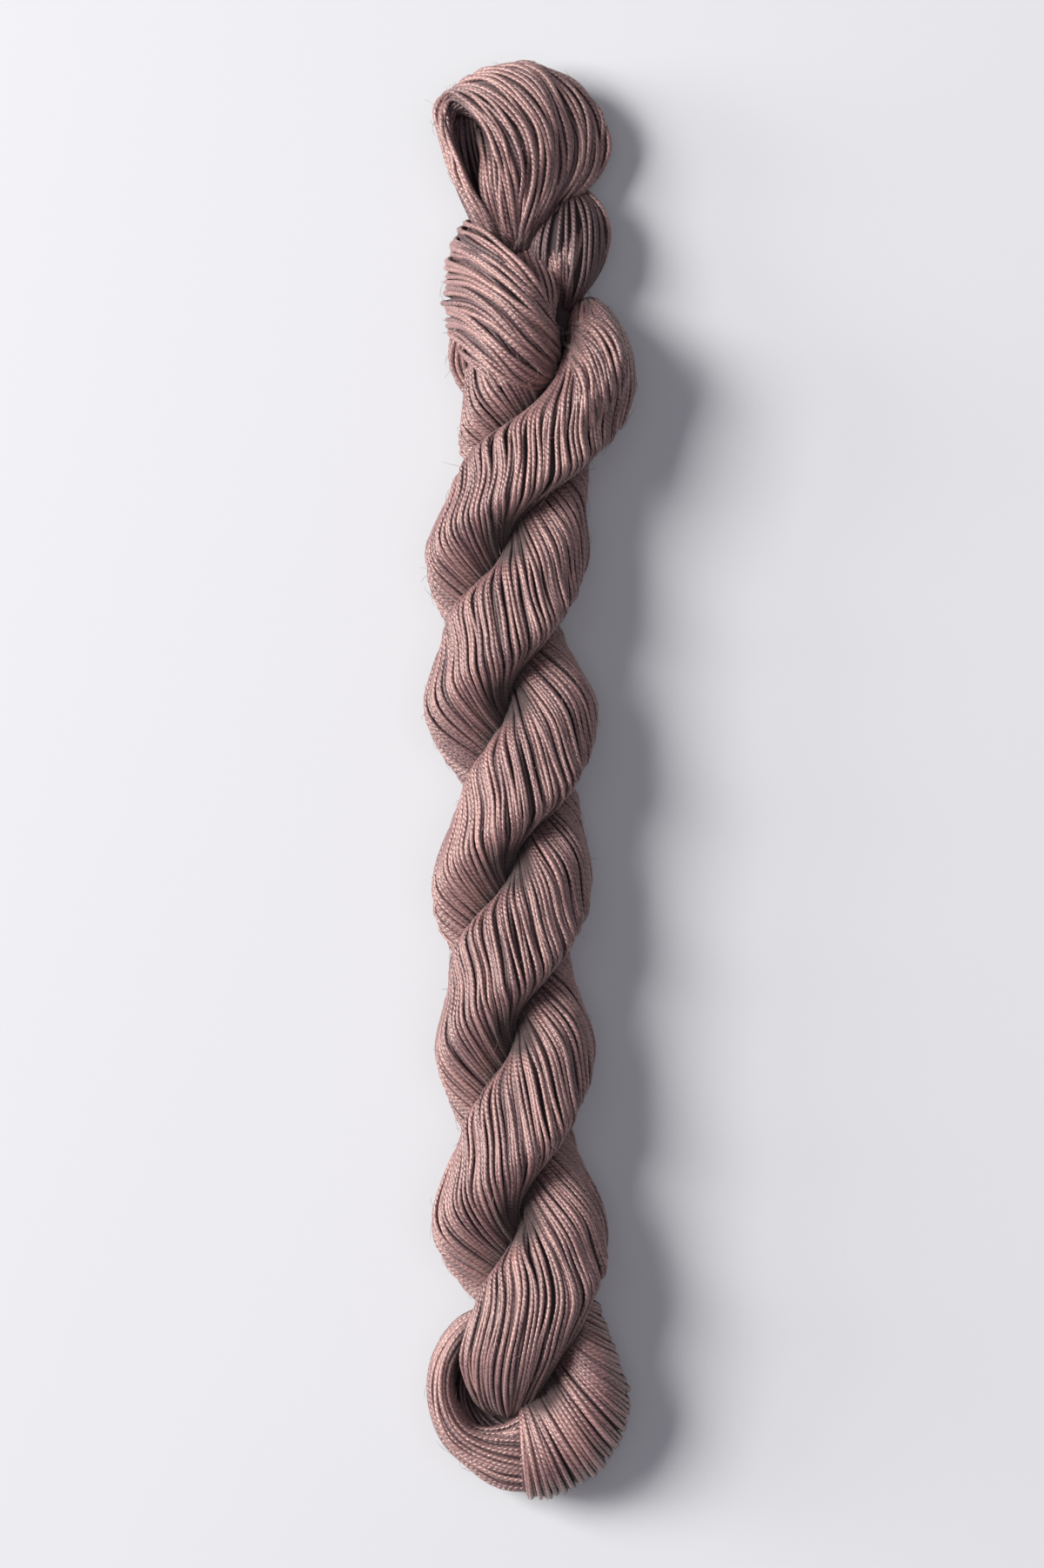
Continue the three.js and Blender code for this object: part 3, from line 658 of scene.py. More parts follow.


def groove_painted_shade(points, other, reach=GROOVE_REACH, out=None):
    """Painted shade from the other ply at each point: 1 where they touch, 0 from reach mm on. The
    gap is the point's place in the other's section at the same y, less that section's size.
    The painted shade reaches further up a flank whose outward direction is turned away from the
    window light, and the pits get painted shade of their own."""
    # painted shade: flanks facing away from the window light are darkened further from the groove
    if out is not None:
        lean = np.clip((out * AWAY_FROM_LIGHT).sum(-1), 0, 1).ravel()
        reach = reach * (OPEN_REACH + TURNED_AWAY_REACH * lean)
    dense = smooth(other, np.linspace(0, distances(other)[-1], DENSE))
    down = -dense[:, 1]
    values = np.stack([np.interp(-points[..., 1].ravel(), down, column) for column in dense.T], 1)
    centre, wide, deep = half_axes(values)
    offset = points.reshape(-1, 3) - centre
    across = np.abs((offset * wide).sum(-1)) / values[:, 5]
    up = np.abs((offset * deep).sum(-1)) / values[:, 6]
    place = (across ** FULLNESS + up ** FULLNESS) ** (1 / FULLNESS)
    gap = (place - 1) * (values[:, 5] + values[:, 6]) / 2
    groove = (np.clip(1 - gap / reach, 0, 1) ** GROOVE_POWER).reshape(points.shape[:-1])
    return np.maximum(groove, pit_painted_shade(points, CROSSINGS, PIT_REACH))


print("pits along the cord, mm:", CROSSINGS[:, 1].round().tolist())

# %% [markdown]
# ## Yarns along a bundle
# On the plies, and in the lower layers everywhere, the yarns run along a bundle. Each has its
# share of the way round, drifts against the cord's own twist, and wanders a little. Where the
# bundle narrows there isn't room for all of them side by side, so some dive under the others.

# %% Lay yarns on a bundle
CLING = 0.6                               # how closely yarns of a group draw together
PLACE_DIFFER = 0.16                       # how far a yarn's place is off, in yarn spacings
GROUP_LENGTH = 42                         # mm along which one grouping gives way to another
WANDER, WANDER_LENGTHS = 0.10, (16, 60)   # mm
STRAY_LENGTHS = (70, 200)
TOGETHER = ((0.10, 83, 9), (0.07, 47, -13))    # size in turns, length in mm, waves round a bundle
TOGETHER_PHASE = 1.3
LIFT_LENGTHS = (18, 60)
LIFT_DIFFER = 0.18
DIVES = np.array([0.0, 1.5, 0.5, 2.2, 1.0])    # mm that yarns in turn dive in a crowd
ROOM = 1.9                                # spacing, in radii, below which yarns are crowded
DIFFER = 0.05                             # share by which one yarn is thicker than another


def lay_yarns(name, rows, count, step, counter=0.0, depth=0.0, start=0.0, stray=0.35,
              lift=0.12, radius=YARN_RADIUS, sides=6, offset=0.0, other=None,
              reach=GROOVE_REACH):
    """Yarns along a bundle. Yarn number i starts at its share of the way round and drifts
    counter turns for each turn of the bundle, so that it lies straight on a cord's crown. Where
    the other ply lies near, they get painted shade."""
    total = distances(rows)[-1]
    rings = max(8, int(round(total / step)))
    s = np.linspace(0, total, rings)
    values = smooth(rows, s)
    first = (np.arange(count) + offset) / count + rng.normal(0, PLACE_DIFFER, count) / count
    blend = 0.5 + 0.5 * np.sin(TURN * (s[:, None] / GROUP_LENGTH + 3 * first))
    first = regroup(first, CLING, blend)
    roll = counter * (values[:, 4] - values[0, 4]) / 360
    _, way = even_angles(values, np.zeros((rings, 1)))
    shift = waves(count, s, WANDER, *WANDER_LENGTHS).T / way[:, None]
    shift = shift + waves(count, s, stray, *STRAY_LENGTHS, 2).T / way[:, None]
    # neighbours wander together, which opens and closes the gaps between them
    together = sum(
        size * np.sin(TURN * (s[:, None] / length + rounds * first) + phase)
        for (size, length, rounds), phase in zip(TOGETHER, (TOGETHER_PHASE, start)))
    share = draw_taut(values, start + first + roll[:, None]) + shift + together / way[:, None]
    angle, way = even_angles(values, share)
    crowd = np.clip(1 - way[:, None] / count / (ROOM * radius), 0, 1)
    dive = DIVES[np.arange(count) % len(DIVES)] * crowd
    ride = waves(count, s, lift, *LIFT_LENGTHS).T + rng.normal(0, LIFT_DIFFER, count)
    centre, out = wall(values, angle, radius + depth + dive + ride)
    lines = centre.transpose(1, 0, 2)
    outward = out.transpose(1, 0, 2)
    thick = thickness(count, s, radius, DIFFER)
    tones = rng.uniform(0, 1, count)
    # painted shade where the other ply lies near
    cover = None if other is None else groove_painted_shade(lines, other, reach, outward)
    return tubes(name, lines, outward, thick, tones, sides, cover)


print("deepest dive of a crowded yarn, mm:", DIVES.max())

# %% [markdown]
# ## Yarns between guides
# On the head and the collar the yarns fan out, cross over and dive. There a cubic across the
# guides gives each yarn its own marks, and a cubic along those marks gives its line.

# %% Yarns between guide strands
GUIDED_DIFFER = 0.15                      # how far a yarn's place is off, in yarn spacings
GUIDED_WANDER = 0.12
GUIDED_WANDER_LENGTHS = (12, 40)
GUIDED_STRAY_LENGTHS = (30, 90)
GUIDED_LIFT_LENGTHS = (14, 45)
GUIDED_LIFT_DIFFER = 0.15
GUIDED_THICK_DIFFER = 0.06
SHORTEST_SHADE = 1e-6                     # keeps a shade of no length from dividing by zero


def guided_yarns(name, guides, count, step, depth=0.0, stray=0.5, lift=0.2,
                 radius=YARN_RADIUS, skew=0.0, cling=CLING, shade=(0.0, 0.0)):
    """Yarns laid between guide strands: a cubic across the guides gives each yarn its own row
    of points, and a cubic along those gives its line. Outward is square to both, and up. shade
    is the share of the length, at the start and at the end, that dives under other yarns and
    is darkened there with painted shade."""
    strands, marks = guides.shape[:2]
    length = np.linalg.norm(np.diff(guides, axis=1), axis=-1).sum(1).mean()
    rings = int(round(length / step))
    place = np.arange(count) + 0.5 + rng.normal(0, GUIDED_DIFFER, count)
    place = place / count * (strands - 1)
    place = regroup(place, cling, np.linspace(0, 1, marks)[:, None]).T
    t = np.linspace(0, marks - 1, rings)
    by_mark = smooth(guides.reshape(strands, -1), place.ravel(), np.arange(strands))
    own = np.arange(marks)
    by_mark = by_mark.reshape(count, marks, marks, 3)[:, own, own]
    lines = smooth(by_mark.transpose(1, 0, 2).reshape(marks, -1), t, own)
    lines = lines.reshape(rings, count, 3).transpose(1, 0, 2)
    ahead = unit(np.gradient(lines, axis=1))
    beside = unit(np.gradient(lines, axis=0))
    out = unit(np.cross(beside, ahead))
    out = out * np.sign(out[..., 2].mean())
    way = t / (marks - 1)
    s = way * length
    fade = np.sin(np.clip(way, 0, 1) * math.pi) ** 0.5
    shift = waves(count, s, GUIDED_WANDER, *GUIDED_WANDER_LENGTHS)
    shift = shift + waves(count, s, stray, *GUIDED_STRAY_LENGTHS, 2) * fade
    shift = shift + skew * (s / length - 0.5)
    ride = waves(count, s, lift, *GUIDED_LIFT_LENGTHS)
    ride = ride + rng.normal(0, GUIDED_LIFT_DIFFER, (count, 1))
    lines = lines + beside * shift[..., None] - out * (radius + depth + ride)[..., None]
    thick = thickness(count, s, radius, GUIDED_THICK_DIFFER)
    # painted shade: full at the yarn's ends, fading over the shade shares
    cover = np.maximum(1 - way / max(shade[0], SHORTEST_SHADE),
                       1 - (1 - way) / max(shade[1], SHORTEST_SHADE))
    cover = np.broadcast_to(np.clip(cover, 0, 1), (count, rings))
    return tubes(name, lines, out, thick, rng.uniform(0, 1, count), 6, cover)


print("a guided yarn wanders, mm:", GUIDED_WANDER)

# %% [markdown]
# ## Guides that lie on a ply
# Where the first ply fans out of the pit, its guides were drawn as heights above the ply. So
# the ply's own top is looked up under each mark.

# %% Heights over a bundle
TOP_PLACES, TOP_ANGLES = 1200, 180        # how finely the bundle's top is worked out
NEAR_ENOUGH = 0.9                         # mm


def top_height(rows, x, y):
    """Height of a bundle's top over the plan places x, y, for a bundle whose sections stand at
    constant y: the highest wall point of the section at y, where the wall passes x."""
    dense = smooth(rows, np.linspace(0, distances(rows)[-1], TOP_PLACES))
    values = np.stack([np.interp(-y, -dense[:, 1], column) for column in dense.T], 1)
    angle = np.broadcast_to(np.arange(TOP_ANGLES) / TOP_ANGLES * TURN, (len(y), TOP_ANGLES))
    points, _ = wall(values, angle, np.zeros(angle.shape))
    near = np.abs(points[..., 0] - x[:, None]) < NEAR_ENOUGH
    reached = np.where(near, points[..., 2], -1.0).max(axis=1)
    return np.where(near.any(axis=1), reached, values[:, 2])


def over_ply(guides, rows):
    """Guide strands whose third column is a height above the top of a bundle, as places."""
    flat = guides.reshape(-1, 3).copy()
    flat[:, 2] += top_height(rows, flat[:, 0], flat[:, 1])
    return flat.reshape(guides.shape)


PLY_CAP = over_ply(CAP_GUIDES, PLY_ONE)
print("highest guide of the first ply, mm:", PLY_CAP[..., 2].max().round(1))

# %% [markdown]
# ## The dark inside
# Between the yarns one looks down to more yarns, ever darker. Two or three layers are enough
# for the eye, and plain bundles under them keep it from seeing through the hank. Their dark
# colour is painted shade, given to them by their finish.

# %% Plain bundles and rests
LOWEST_CORE = 0.5                         # mm above the table
CORE_SIDES, CORE_STEP = 40, 2.0
REST_SIDES, REST_STEPS = 32, 16
# low rests of yarn that close the hank from below: x, y, z, half sizes across, along and up
FOLD_REST = np.array([-3.0, -121.6, 6.2, 14.5, 13.5, 6.2])
HEAD_REST = np.array([-9.4, 125.0, 6.0, 5.6, 13.0, 5.4])
COLLAR_REST = np.array([1.0, 96.0, 6.6, 9.5, 15.0, 6.0])


def joined(name, points, quads, ends):
    """A plain closed mesh, with the yarn's maps and values left at 0."""
    maps = {"yarn": np.zeros((quads.size + ends.size, 2))}
    zeros = np.zeros(len(points))
    return mesh_object(name, points, quads, ends, maps, zeros, zeros)


def core(name, rows, inset):
    """A plain closed bundle, inset mm under the wall, that stands for the yarns inside."""
    total = distances(rows)[-1]
    s = np.linspace(0, total, max(8, int(total / CORE_STEP)))
    values = smooth(rows, s)
    angle = np.broadcast_to(np.arange(CORE_SIDES) / CORE_SIDES * TURN, (len(s), CORE_SIDES))
    points, _ = wall(values, angle, np.full(angle.shape, inset))
    points[..., 2] = np.maximum(points[..., 2], LOWEST_CORE)
    index = np.arange(len(s) * CORE_SIDES).reshape(-1, CORE_SIDES)
    after = np.roll(index, -1, axis=1)
    quads = np.stack([index[:-1], index[1:], after[1:], after[:-1]], -1).reshape(-1, 4)
    ends = np.stack([index[0], index[-1, ::-1]])
    return joined(name, points.reshape(-1, 3), quads, ends)


def cushion(name, row, inset):
    """A closed ellipsoid, inset mm under its full size: centre + half sizes * (cos b cos a,
    cos b sin a, sin b)."""
    centre, half = row[:3], row[3:] - inset
    a = np.arange(REST_SIDES) / REST_SIDES * TURN
    b = np.linspace(-math.pi / 2, math.pi / 2, REST_STEPS + 1)[1:-1, None]
    x = half[0] * np.cos(b) * np.cos(a)
    y = half[1] * np.cos(b) * np.sin(a)
    z = half[2] * np.sin(b) * np.ones_like(a)
    points = np.stack([x, y, z], -1).reshape(-1, 3) + centre
    index = np.arange(len(points)).reshape(-1, REST_SIDES)
    after = np.roll(index, -1, axis=1)
    quads = np.stack([index[:-1], after[:-1], after[1:], index[1:]], -1).reshape(-1, 4)
    ends = np.stack([index[0, ::-1], index[-1]])
    return joined(name, points, quads, ends)


print("lowest plain bundle, mm above the table:", LOWEST_CORE)

# %% [markdown]
# ## The yarn's finish
# Linen yarn has a soft sheen along its fibres, a fine slanting twist, and a colour that varies a
# little from yarn to yarn. The twist is too fine for geometry, so it is a bump read from the
# yarn's own map, in which x is millimetres along the yarn and y is one turn around it. Three
# finishes share this pattern, so it is built once, as a node group.

# %% Helpers for nodes
def add_node(tree, kind, **inputs):
    """A node with its named inputs set."""
    node = tree.nodes.new(kind)
    for socket, value in inputs.items():
        node.inputs[socket.replace("_", " ")].default_value = value
    return node


def math_node(tree, operation, a, b=None):
    """A math node fed by sockets or numbers."""
    node = tree.nodes.new("ShaderNodeMath")
    node.operation = operation
    for socket, value in zip(node.inputs, (a, b)):
        if value is None:
            continue
        if isinstance(value, (int, float)):
            socket.default_value = value
        else:
            tree.links.new(value, socket)
    return node.outputs[0]


def weighted_sum(tree, sources, shares):
    """The sum of share * source, over the names in shares."""
    parts = [math_node(tree, "MULTIPLY", sources[name], share) for name, share in shares.items()]
    total = parts[0]
    for part in parts[1:]:
        total = math_node(tree, "ADD", total, part)
    return total


def spread_node(tree, value, low, high, to_low=0.0, to_high=1.0):
    """A clamped straight line: low..high of value becomes to_low..to_high."""
    node = tree.nodes.new("ShaderNodeMapRange")
    tree.links.new(value, node.inputs["Value"])
    for socket, number in zip(("From Min", "From Max", "To Min", "To Max"),
                              (low, high, to_low, to_high)):
        node.inputs[socket].default_value = number
    return node.outputs[0]


# %% [markdown]
# ## What makes the pattern
# Two threads wind round each other along the yarn, and their wind also lightens and darkens
# the colour a little, as painted shading of the threads. Fine noise, drawn out along that wind,
# gives the fibres, and coarser noise the specks and the slow changes of colour. The group puts
# out how light the yarn is, how open it lies to the light, which is painted shade on the yarn's
# sides and in grooves, and how high its fibres stand.

# %% The pattern on a yarn
TWIST_LEAD = 2.2                          # mm along the yarn for one full wind
THREADS = 2
FIBRE_STRETCH = (0.9, 5.0, 97.0)          # noise places per mm, per turn and from yarn to yarn
LIGHT_SHARES = {"twist": 0.07, "tone": 0.30, "fibres": 0.95, "specks": 0.45, "patches": 0.25}
HEIGHT_SHARES = {"twist": 0.30, "fibres": 1.2, "specks": 0.5}
DARK_AT, LIGHT_AT = 0.62, 1.32            # sums of the light shares that give dark and light
FLANK_SHADE, GROOVE_SHADE = 0.45, 0.12    # painted shade: openness low on a yarn's side, and in a groove
FLANK_RANGE = (-0.8, 0.6)                 # cosines between which a yarn's side opens to the light
GROOVE_RANGE = (0.0, 0.8)                 # painted shade values between which a groove closes


def yarn_pattern():
    """The pattern that every yarn shares, as a node group: how light the yarn is, how open it
    lies to the light as painted shade on its sides and in grooves, and how high its fibres stand."""
    group = bpy.data.node_groups.new("yarn_pattern", "ShaderNodeTree")
    for name in ("Lightness", "Openness", "Height"):
        group.interface.new_socket(name, in_out="OUTPUT", socket_type="NodeSocketFloat")
    result = group.nodes.new("NodeGroupOutput")
    place = group.nodes.new("ShaderNodeUVMap")
    place.uv_map = "yarn"
    split = group.nodes.new("ShaderNodeSeparateXYZ")
    group.links.new(place.outputs[0], split.inputs[0])
    x, y = split.outputs["X"], split.outputs["Y"]
    tone = group.nodes.new("ShaderNodeAttribute")
    tone.attribute_name = "tone"
    cover = group.nodes.new("ShaderNodeAttribute")
    cover.attribute_name = "cover"
    where = group.nodes.new("ShaderNodeTexCoord")
    # the threads of the yarn wind round each other once in each lead
    wound = math_node(group, "ADD", y, math_node(group, "MULTIPLY", x, 1 / TWIST_LEAD))
    twist = math_node(group, "SINE", math_node(group, "MULTIPLY", wound, TURN * THREADS))
    # fibres: noise drawn out along the wind
    drawn = group.nodes.new("ShaderNodeCombineXYZ")
    for axis, source, stretch in zip("XYZ", (x, wound, tone.outputs["Fac"]), FIBRE_STRETCH):
        group.links.new(math_node(group, "MULTIPLY", source, stretch), drawn.inputs[axis])
    fibres = add_node(group, "ShaderNodeTexNoise", Scale=1.0, Detail=3.0, Roughness=0.65)
    group.links.new(drawn.outputs[0], fibres.inputs["Vector"])
    specks = add_node(group, "ShaderNodeTexNoise", Scale=1500.0, Detail=2.0, Roughness=0.6)
    group.links.new(where.outputs["Object"], specks.inputs["Vector"])
    patches = add_node(group, "ShaderNodeTexNoise", Scale=70.0, Detail=2.0, Roughness=0.5)
    group.links.new(where.outputs["Object"], patches.inputs["Vector"])
    sources = {"twist": twist, "tone": tone.outputs["Fac"], "fibres": fibres.outputs[0],
               "specks": specks.outputs[0], "patches": patches.outputs[0]}
    # the twist share lightens and darkens the colour along the wind, as painted shading of the threads
    light = weighted_sum(group, sources, LIGHT_SHARES)
    group.links.new(spread_node(group, light, DARK_AT, LIGHT_AT), result.inputs["Lightness"])
    # painted shade: darker from the yarn's outward face (y = 0) round to its sides and back, and in
    # grooves
    flank = math_node(group, "COSINE", math_node(group, "MULTIPLY", y, TURN))
    sides = spread_node(group, flank, *FLANK_RANGE, FLANK_SHADE, 1.0)
    depth = spread_node(group, cover.outputs["Fac"], *GROOVE_RANGE, 1.0, GROOVE_SHADE)
    group.links.new(math_node(group, "MULTIPLY", sides, depth), result.inputs["Openness"])
    group.links.new(weighted_sum(group, sources, HEIGHT_SHARES), result.inputs["Height"])
    return group


pattern = yarn_pattern()
print("nodes in the yarn's pattern:", len(pattern.nodes))

# %% [markdown]
# ## Three finishes
# The yarns that show are mauve brown with a silky sheen. Those in the second and third layers
# get a darker, duller copy of it, painted shade for the light that other yarns take from them,
# and the plain bundles inside are painted darker still. Each finish is the same recipe with its
# own values.

# %% Finishes
PAINTED_SHADE_COLOUR = (0.010, 0.003, 0.009)           # colour of the painted shade, deep in a gap
DULLEST = 0.95                            # roughness there
DULL_RANGE = (0.15, 0.75)                 # openness between which the yarn gets its own gloss
MIX_SHARE, MIX_A, MIX_B = 0, 6, 7         # inputs of a Mix node for colours
MIX_RESULT = 2                            # and its output
BUMP_STRENGTH, BUMP_HEIGHT = 0.7, 0.00022
SHINE_TINT = (1.0, 0.86, 0.76, 1)
SHEEN_TINT = (1.0, 0.86, 0.79, 1)


def yarn_material(name, light, dark, rough, sheen):
    """Plied linen: colour from dark to light by the shared pattern, mixed towards the painted shade
    colour and duller where the pattern says it is closed to the light."""
    material = bpy.data.materials.new(name)
    material.use_nodes = True
    tree = material.node_tree
    shader = tree.nodes["Principled BSDF"]
    shared = tree.nodes.new("ShaderNodeGroup")
    shared.node_tree = pattern
    mix = tree.nodes.new("ShaderNodeMix")
    mix.data_type = "RGBA"
    mix.inputs[MIX_A].default_value = (*dark, 1)
    mix.inputs[MIX_B].default_value = (*light, 1)
    tree.links.new(shared.outputs["Lightness"], mix.inputs[MIX_SHARE])
    # painted shade: the colour is mixed towards the painted shade colour where openness is low
    shade = tree.nodes.new("ShaderNodeMix")
    shade.data_type = "RGBA"
    shade.inputs[MIX_A].default_value = (*PAINTED_SHADE_COLOUR, 1)
    tree.links.new(mix.outputs[MIX_RESULT], shade.inputs[MIX_B])
    tree.links.new(shared.outputs["Openness"], shade.inputs[MIX_SHARE])
    tree.links.new(shade.outputs[MIX_RESULT], shader.inputs["Base Color"])
    bump = add_node(tree, "ShaderNodeBump", Strength=BUMP_STRENGTH, Distance=BUMP_HEIGHT)
    tree.links.new(shared.outputs["Height"], bump.inputs["Height"])
    tree.links.new(bump.outputs[0], shader.inputs["Normal"])
    dull = spread_node(tree, shared.outputs["Openness"], *DULL_RANGE, DULLEST, rough)
    tree.links.new(dull, shader.inputs["Roughness"])
    for socket, value in (
        ("IOR", 1.6), ("Specular IOR Level", 1.0),
        ("Specular Tint", SHINE_TINT), ("Sheen Weight", sheen),
        ("Sheen Roughness", 0.4), ("Sheen Tint", SHEEN_TINT),
    ):
        shader.inputs[socket].default_value = value
    return material


yarn = yarn_material("linen_yarn", (0.395, 0.214, 0.197), (0.036, 0.012, 0.028), 0.38, 0.2)
# painted shade: a darker, duller copy of the yarn's finish for the yarns in the lower layers
under = yarn_material("linen_yarn_under", (0.12, 0.060, 0.070), (0.022, 0.008, 0.017), 0.6, 0.0)
# painted shade: a near-black copy of the finish for the plain bundles and rests inside
inside = yarn_material("yarn_inside", (0.030, 0.013, 0.020), (0.015, 0.006, 0.012), 0.9, 0.0)
print("finishes:", yarn.name, under.name, inside.name)

# %% [markdown]
# ## Lay every bundle
# The two plies come first. Their yarns drift against the cord's twist, which makes them lie
# almost straight along the crown of each crossing, as on any balanced cord. Each call gives the
# piece its name, its table or guides, the number of its yarns and the mm between their rings.

# %% Plies
COUNTER = 1.74                            # turns of drift against one turn of the cord
PLIES = (("ply_one", PLY_ONE, PLY_TWO, 0.1), ("ply_two", PLY_TWO, PLY_ONE, 0.4))
pieces = [
    lay_yarns(name + "_yarns", rows, 76, 2.0, counter=COUNTER, other=other, start=start)
    for name, rows, other, start in PLIES
]
pieces += [
    lay_yarns(name + "_under_yarns", rows, 62, 2.4, counter=COUNTER, depth=0.85, other=other,
              offset=0.5, sides=5)
    for name, rows, other, start in PLIES
]
print("tubes on the two plies:", sum(len(LAID[piece.name][0]) for piece in pieces))

# %% [markdown]
# ## Head and collar
# The deepest layer of each runs along its bundle. The layers that show run between the guides,
# each a little deeper than the one above it and a little turned, so that the gaps of one layer
# show the yarns of the next.

# %% Head
pieces += [
    lay_yarns("head_under_yarns", HEAD_INNER, 54, 1.1, start=0.2),
    lay_yarns("head_floor_yarns", HEAD_FLOOR, 28, 1.3),
    guided_yarns("head_outer_yarns", HEAD_GUIDES, 27, 1.0, radius=0.53, lift=0.28,
                 shade=(0.10, 0.16)),
    guided_yarns("head_second_yarns", HEAD_GUIDES, 30, 1.1, radius=0.48, depth=1.0, skew=2.0,
                 lift=0.08),
    guided_yarns("head_rim_yarns", RIM_GUIDES, 8, 1.0, radius=0.52, stray=0.25, cling=0.35,
                 lift=0.3, shade=(0.08, 0.16)),
    guided_yarns("head_eye_yarns", EYE_GUIDES, 7, 1.0, radius=0.5, stray=0.3,
                 shade=(0.35, 0.16)),
]
print("pieces so far:", len(pieces))

# %% Collar
pieces += [
    guided_yarns("collar_outer_yarns", COLLAR_GUIDES, 33, 1.0, radius=0.53, stray=0.6,
                 lift=0.22, cling=0.38, shade=(0.06, 0.24)),
    guided_yarns("collar_second_yarns", COLLAR_GUIDES, 32, 1.1, radius=0.48, depth=1.1,
                 skew=-1.2, lift=0.08, shade=(0.0, 0.22)),
    guided_yarns("collar_drop_yarns", COLLAR_DROP_GUIDES, 8, 1.0, radius=0.5, stray=0.3,
                 shade=(0.2, 0.2)),
    guided_yarns("collar_third_yarns", COLLAR_GUIDES, 32, 1.2, radius=0.46, depth=1.9,
                 skew=1.5, lift=0.08),
    lay_yarns("collar_under_yarns", COLLAR_INNER, 60, 1.8, offset=0.5),
    guided_yarns("collar_return_yarns", RETURN_GUIDES, 25, 1.0, radius=0.52, lift=0.25,
                 shade=(0.35, 0.35)),
    guided_yarns("collar_return_second_yarns", RETURN_GUIDES, 25, 1.1, radius=0.46, depth=1.0,
                 skew=1.6, lift=0.08),
    lay_yarns("collar_return_under_yarns", COLLAR_RETURN, 42, 1.5, depth=0.6, offset=0.5),
    guided_yarns("ply_cap_yarns", PLY_CAP, 22, 1.0, radius=0.5, lift=0.25, stray=0.3,
                 cling=0.75, shade=(0.48, 0.0)),
    guided_yarns("ply_cap_second_yarns", PLY_CAP, 22, 1.1, radius=0.46, depth=0.9, skew=1.0,
                 lift=0.08),
]
print("pieces so far:", len(pieces))

# %% [markdown]
# ## Fold
# The arc's yarns run along it. On the right bundle they run round it instead: they come up out
# of the pit beside the second ply, go over the bundle and down to the table.

# %% Arc of the fold
pieces += [
    lay_yarns("fold_floor_yarns", around_pit(FOLD_INNER), 30, 1.5, other=PLY_TWO),
    lay_yarns("fold_arc_yarns", around_pit(FOLD_ARC), 42, 1.4, radius=0.48, stray=0.5, lift=0.2,
              other=PLY_TWO, reach=3.2),
    lay_yarns("fold_arc_under_yarns", around_pit(FOLD_ARC), 40, 1.6, depth=0.8, offset=0.5),
]
print("pieces so far:", len(pieces))

# %% Fan of the fold
FAN_PIT = np.array([[1.9, -121.8]])       # where they come out of the shade of the second ply
FAN_REACH = 7.0
FAN_GROOVE_REACH = 3.0
FAN_ANGLES = (200.0, -100.0)              # section angles at a yarn's start and end
FAN_LENGTH = 40                           # mm, about, from start to end
FAN_PLACE_DIFFER = 0.14                   # mm
FAN_CLING = 0.32
FAN_LIFT, FAN_LIFT_LENGTHS, FAN_LIFT_DIFFER = 0.16, (18, 50), 0.20
EDGE_PLACES = 200


def ring_yarns(name, rows, count, steps, depth=0.0, radius=YARN_RADIUS, offset=0.0):
    """Yarns that go round a bundle instead of along it: yarn i stays at its place along the
    bundle while the section angle runs from the first to the last fan angle."""
    total = distances(rows)[-1]
    along = np.linspace(0, total, EDGE_PLACES)
    outer = wall(smooth(rows, along), np.zeros((EDGE_PLACES, 1)), 0.0)[0][:, 0]
    edge = np.concatenate([[0], np.cumsum(np.linalg.norm(np.diff(outer, axis=0), axis=1))])
    wanted = (np.arange(count) + 0.5 + offset) / count * edge[-1]
    wanted = gather(wanted + rng.normal(0, FAN_PLACE_DIFFER, count), FAN_CLING)
    place = np.interp(wanted, edge, along)
    angle = np.radians(np.linspace(*FAN_ANGLES, steps))
    way = np.linspace(0, FAN_LENGTH, steps)
    s = place[:, None] + waves(count, way, WANDER, *WANDER_LENGTHS)
    values = smooth(rows, np.clip(s.ravel(), 0, total))
    flat_angle = np.tile(angle, count)[:, None]
    ride = waves(count, way, FAN_LIFT, *FAN_LIFT_LENGTHS)
    ride = (ride + rng.normal(0, FAN_LIFT_DIFFER, (count, 1))).reshape(-1, 1)
    centre, out = wall(values, flat_angle, radius + depth + ride)
    lines = centre[:, 0].reshape(count, steps, 3)
    out = out[:, 0].reshape(count, steps, 3)
    thick = thickness(count, way, radius, DIFFER)
    tones = rng.uniform(0, 1, count)
    # painted shade near the pit and along the second ply
    cover = np.maximum(pit_painted_shade(lines, FAN_PIT, FAN_REACH),
                       groove_painted_shade(lines, PLY_TWO, FAN_GROOVE_REACH))
    return tubes(name, lines, out, thick, tones, 6, cover)


pieces += [
    ring_yarns("fold_right_yarns", FOLD_RIGHT, 50, 34, radius=0.53),
    ring_yarns("fold_right_under_yarns", FOLD_RIGHT, 50, 28, depth=0.75, offset=0.5),
]
print("tubes in all:", sum(len(lines) for lines, out, radius in LAID.values()))

# %% [markdown]
# ## Stray fibres
# Linen is never quite smooth: short fibres stand off the yarn and catch the light. Each one is
# a very thin tube that leaves its yarn at a slant and curls over.

# %% Stray fibres
FIBRE_COUNT = 1500
FIBRE_STEPS = 6
FIBRE_RADIUS = 0.045
FIBRE_LENGTH = (3.0, 0.62, 0.6)           # shape and scale of its spread, and the shortest
FIBRE_HEIGHT = (2.0, 0.16, 0.08)
FIBRE_SLANT, FIBRE_BEND = 0.55, 0.35
ROOT_DEPTH = 0.9                          # a fibre starts at this share of the yarn's radius
FIBRE_ARC = 0.8                           # half turns of its rise and fall
THICK_ROOT, TAPER = 1.1, 0.6              # its radius at the root, and what it loses to the tip
DARKER = ("under", "floor", "second", "third")   # pieces that lie in the shade of another, and get the painted-shade finish
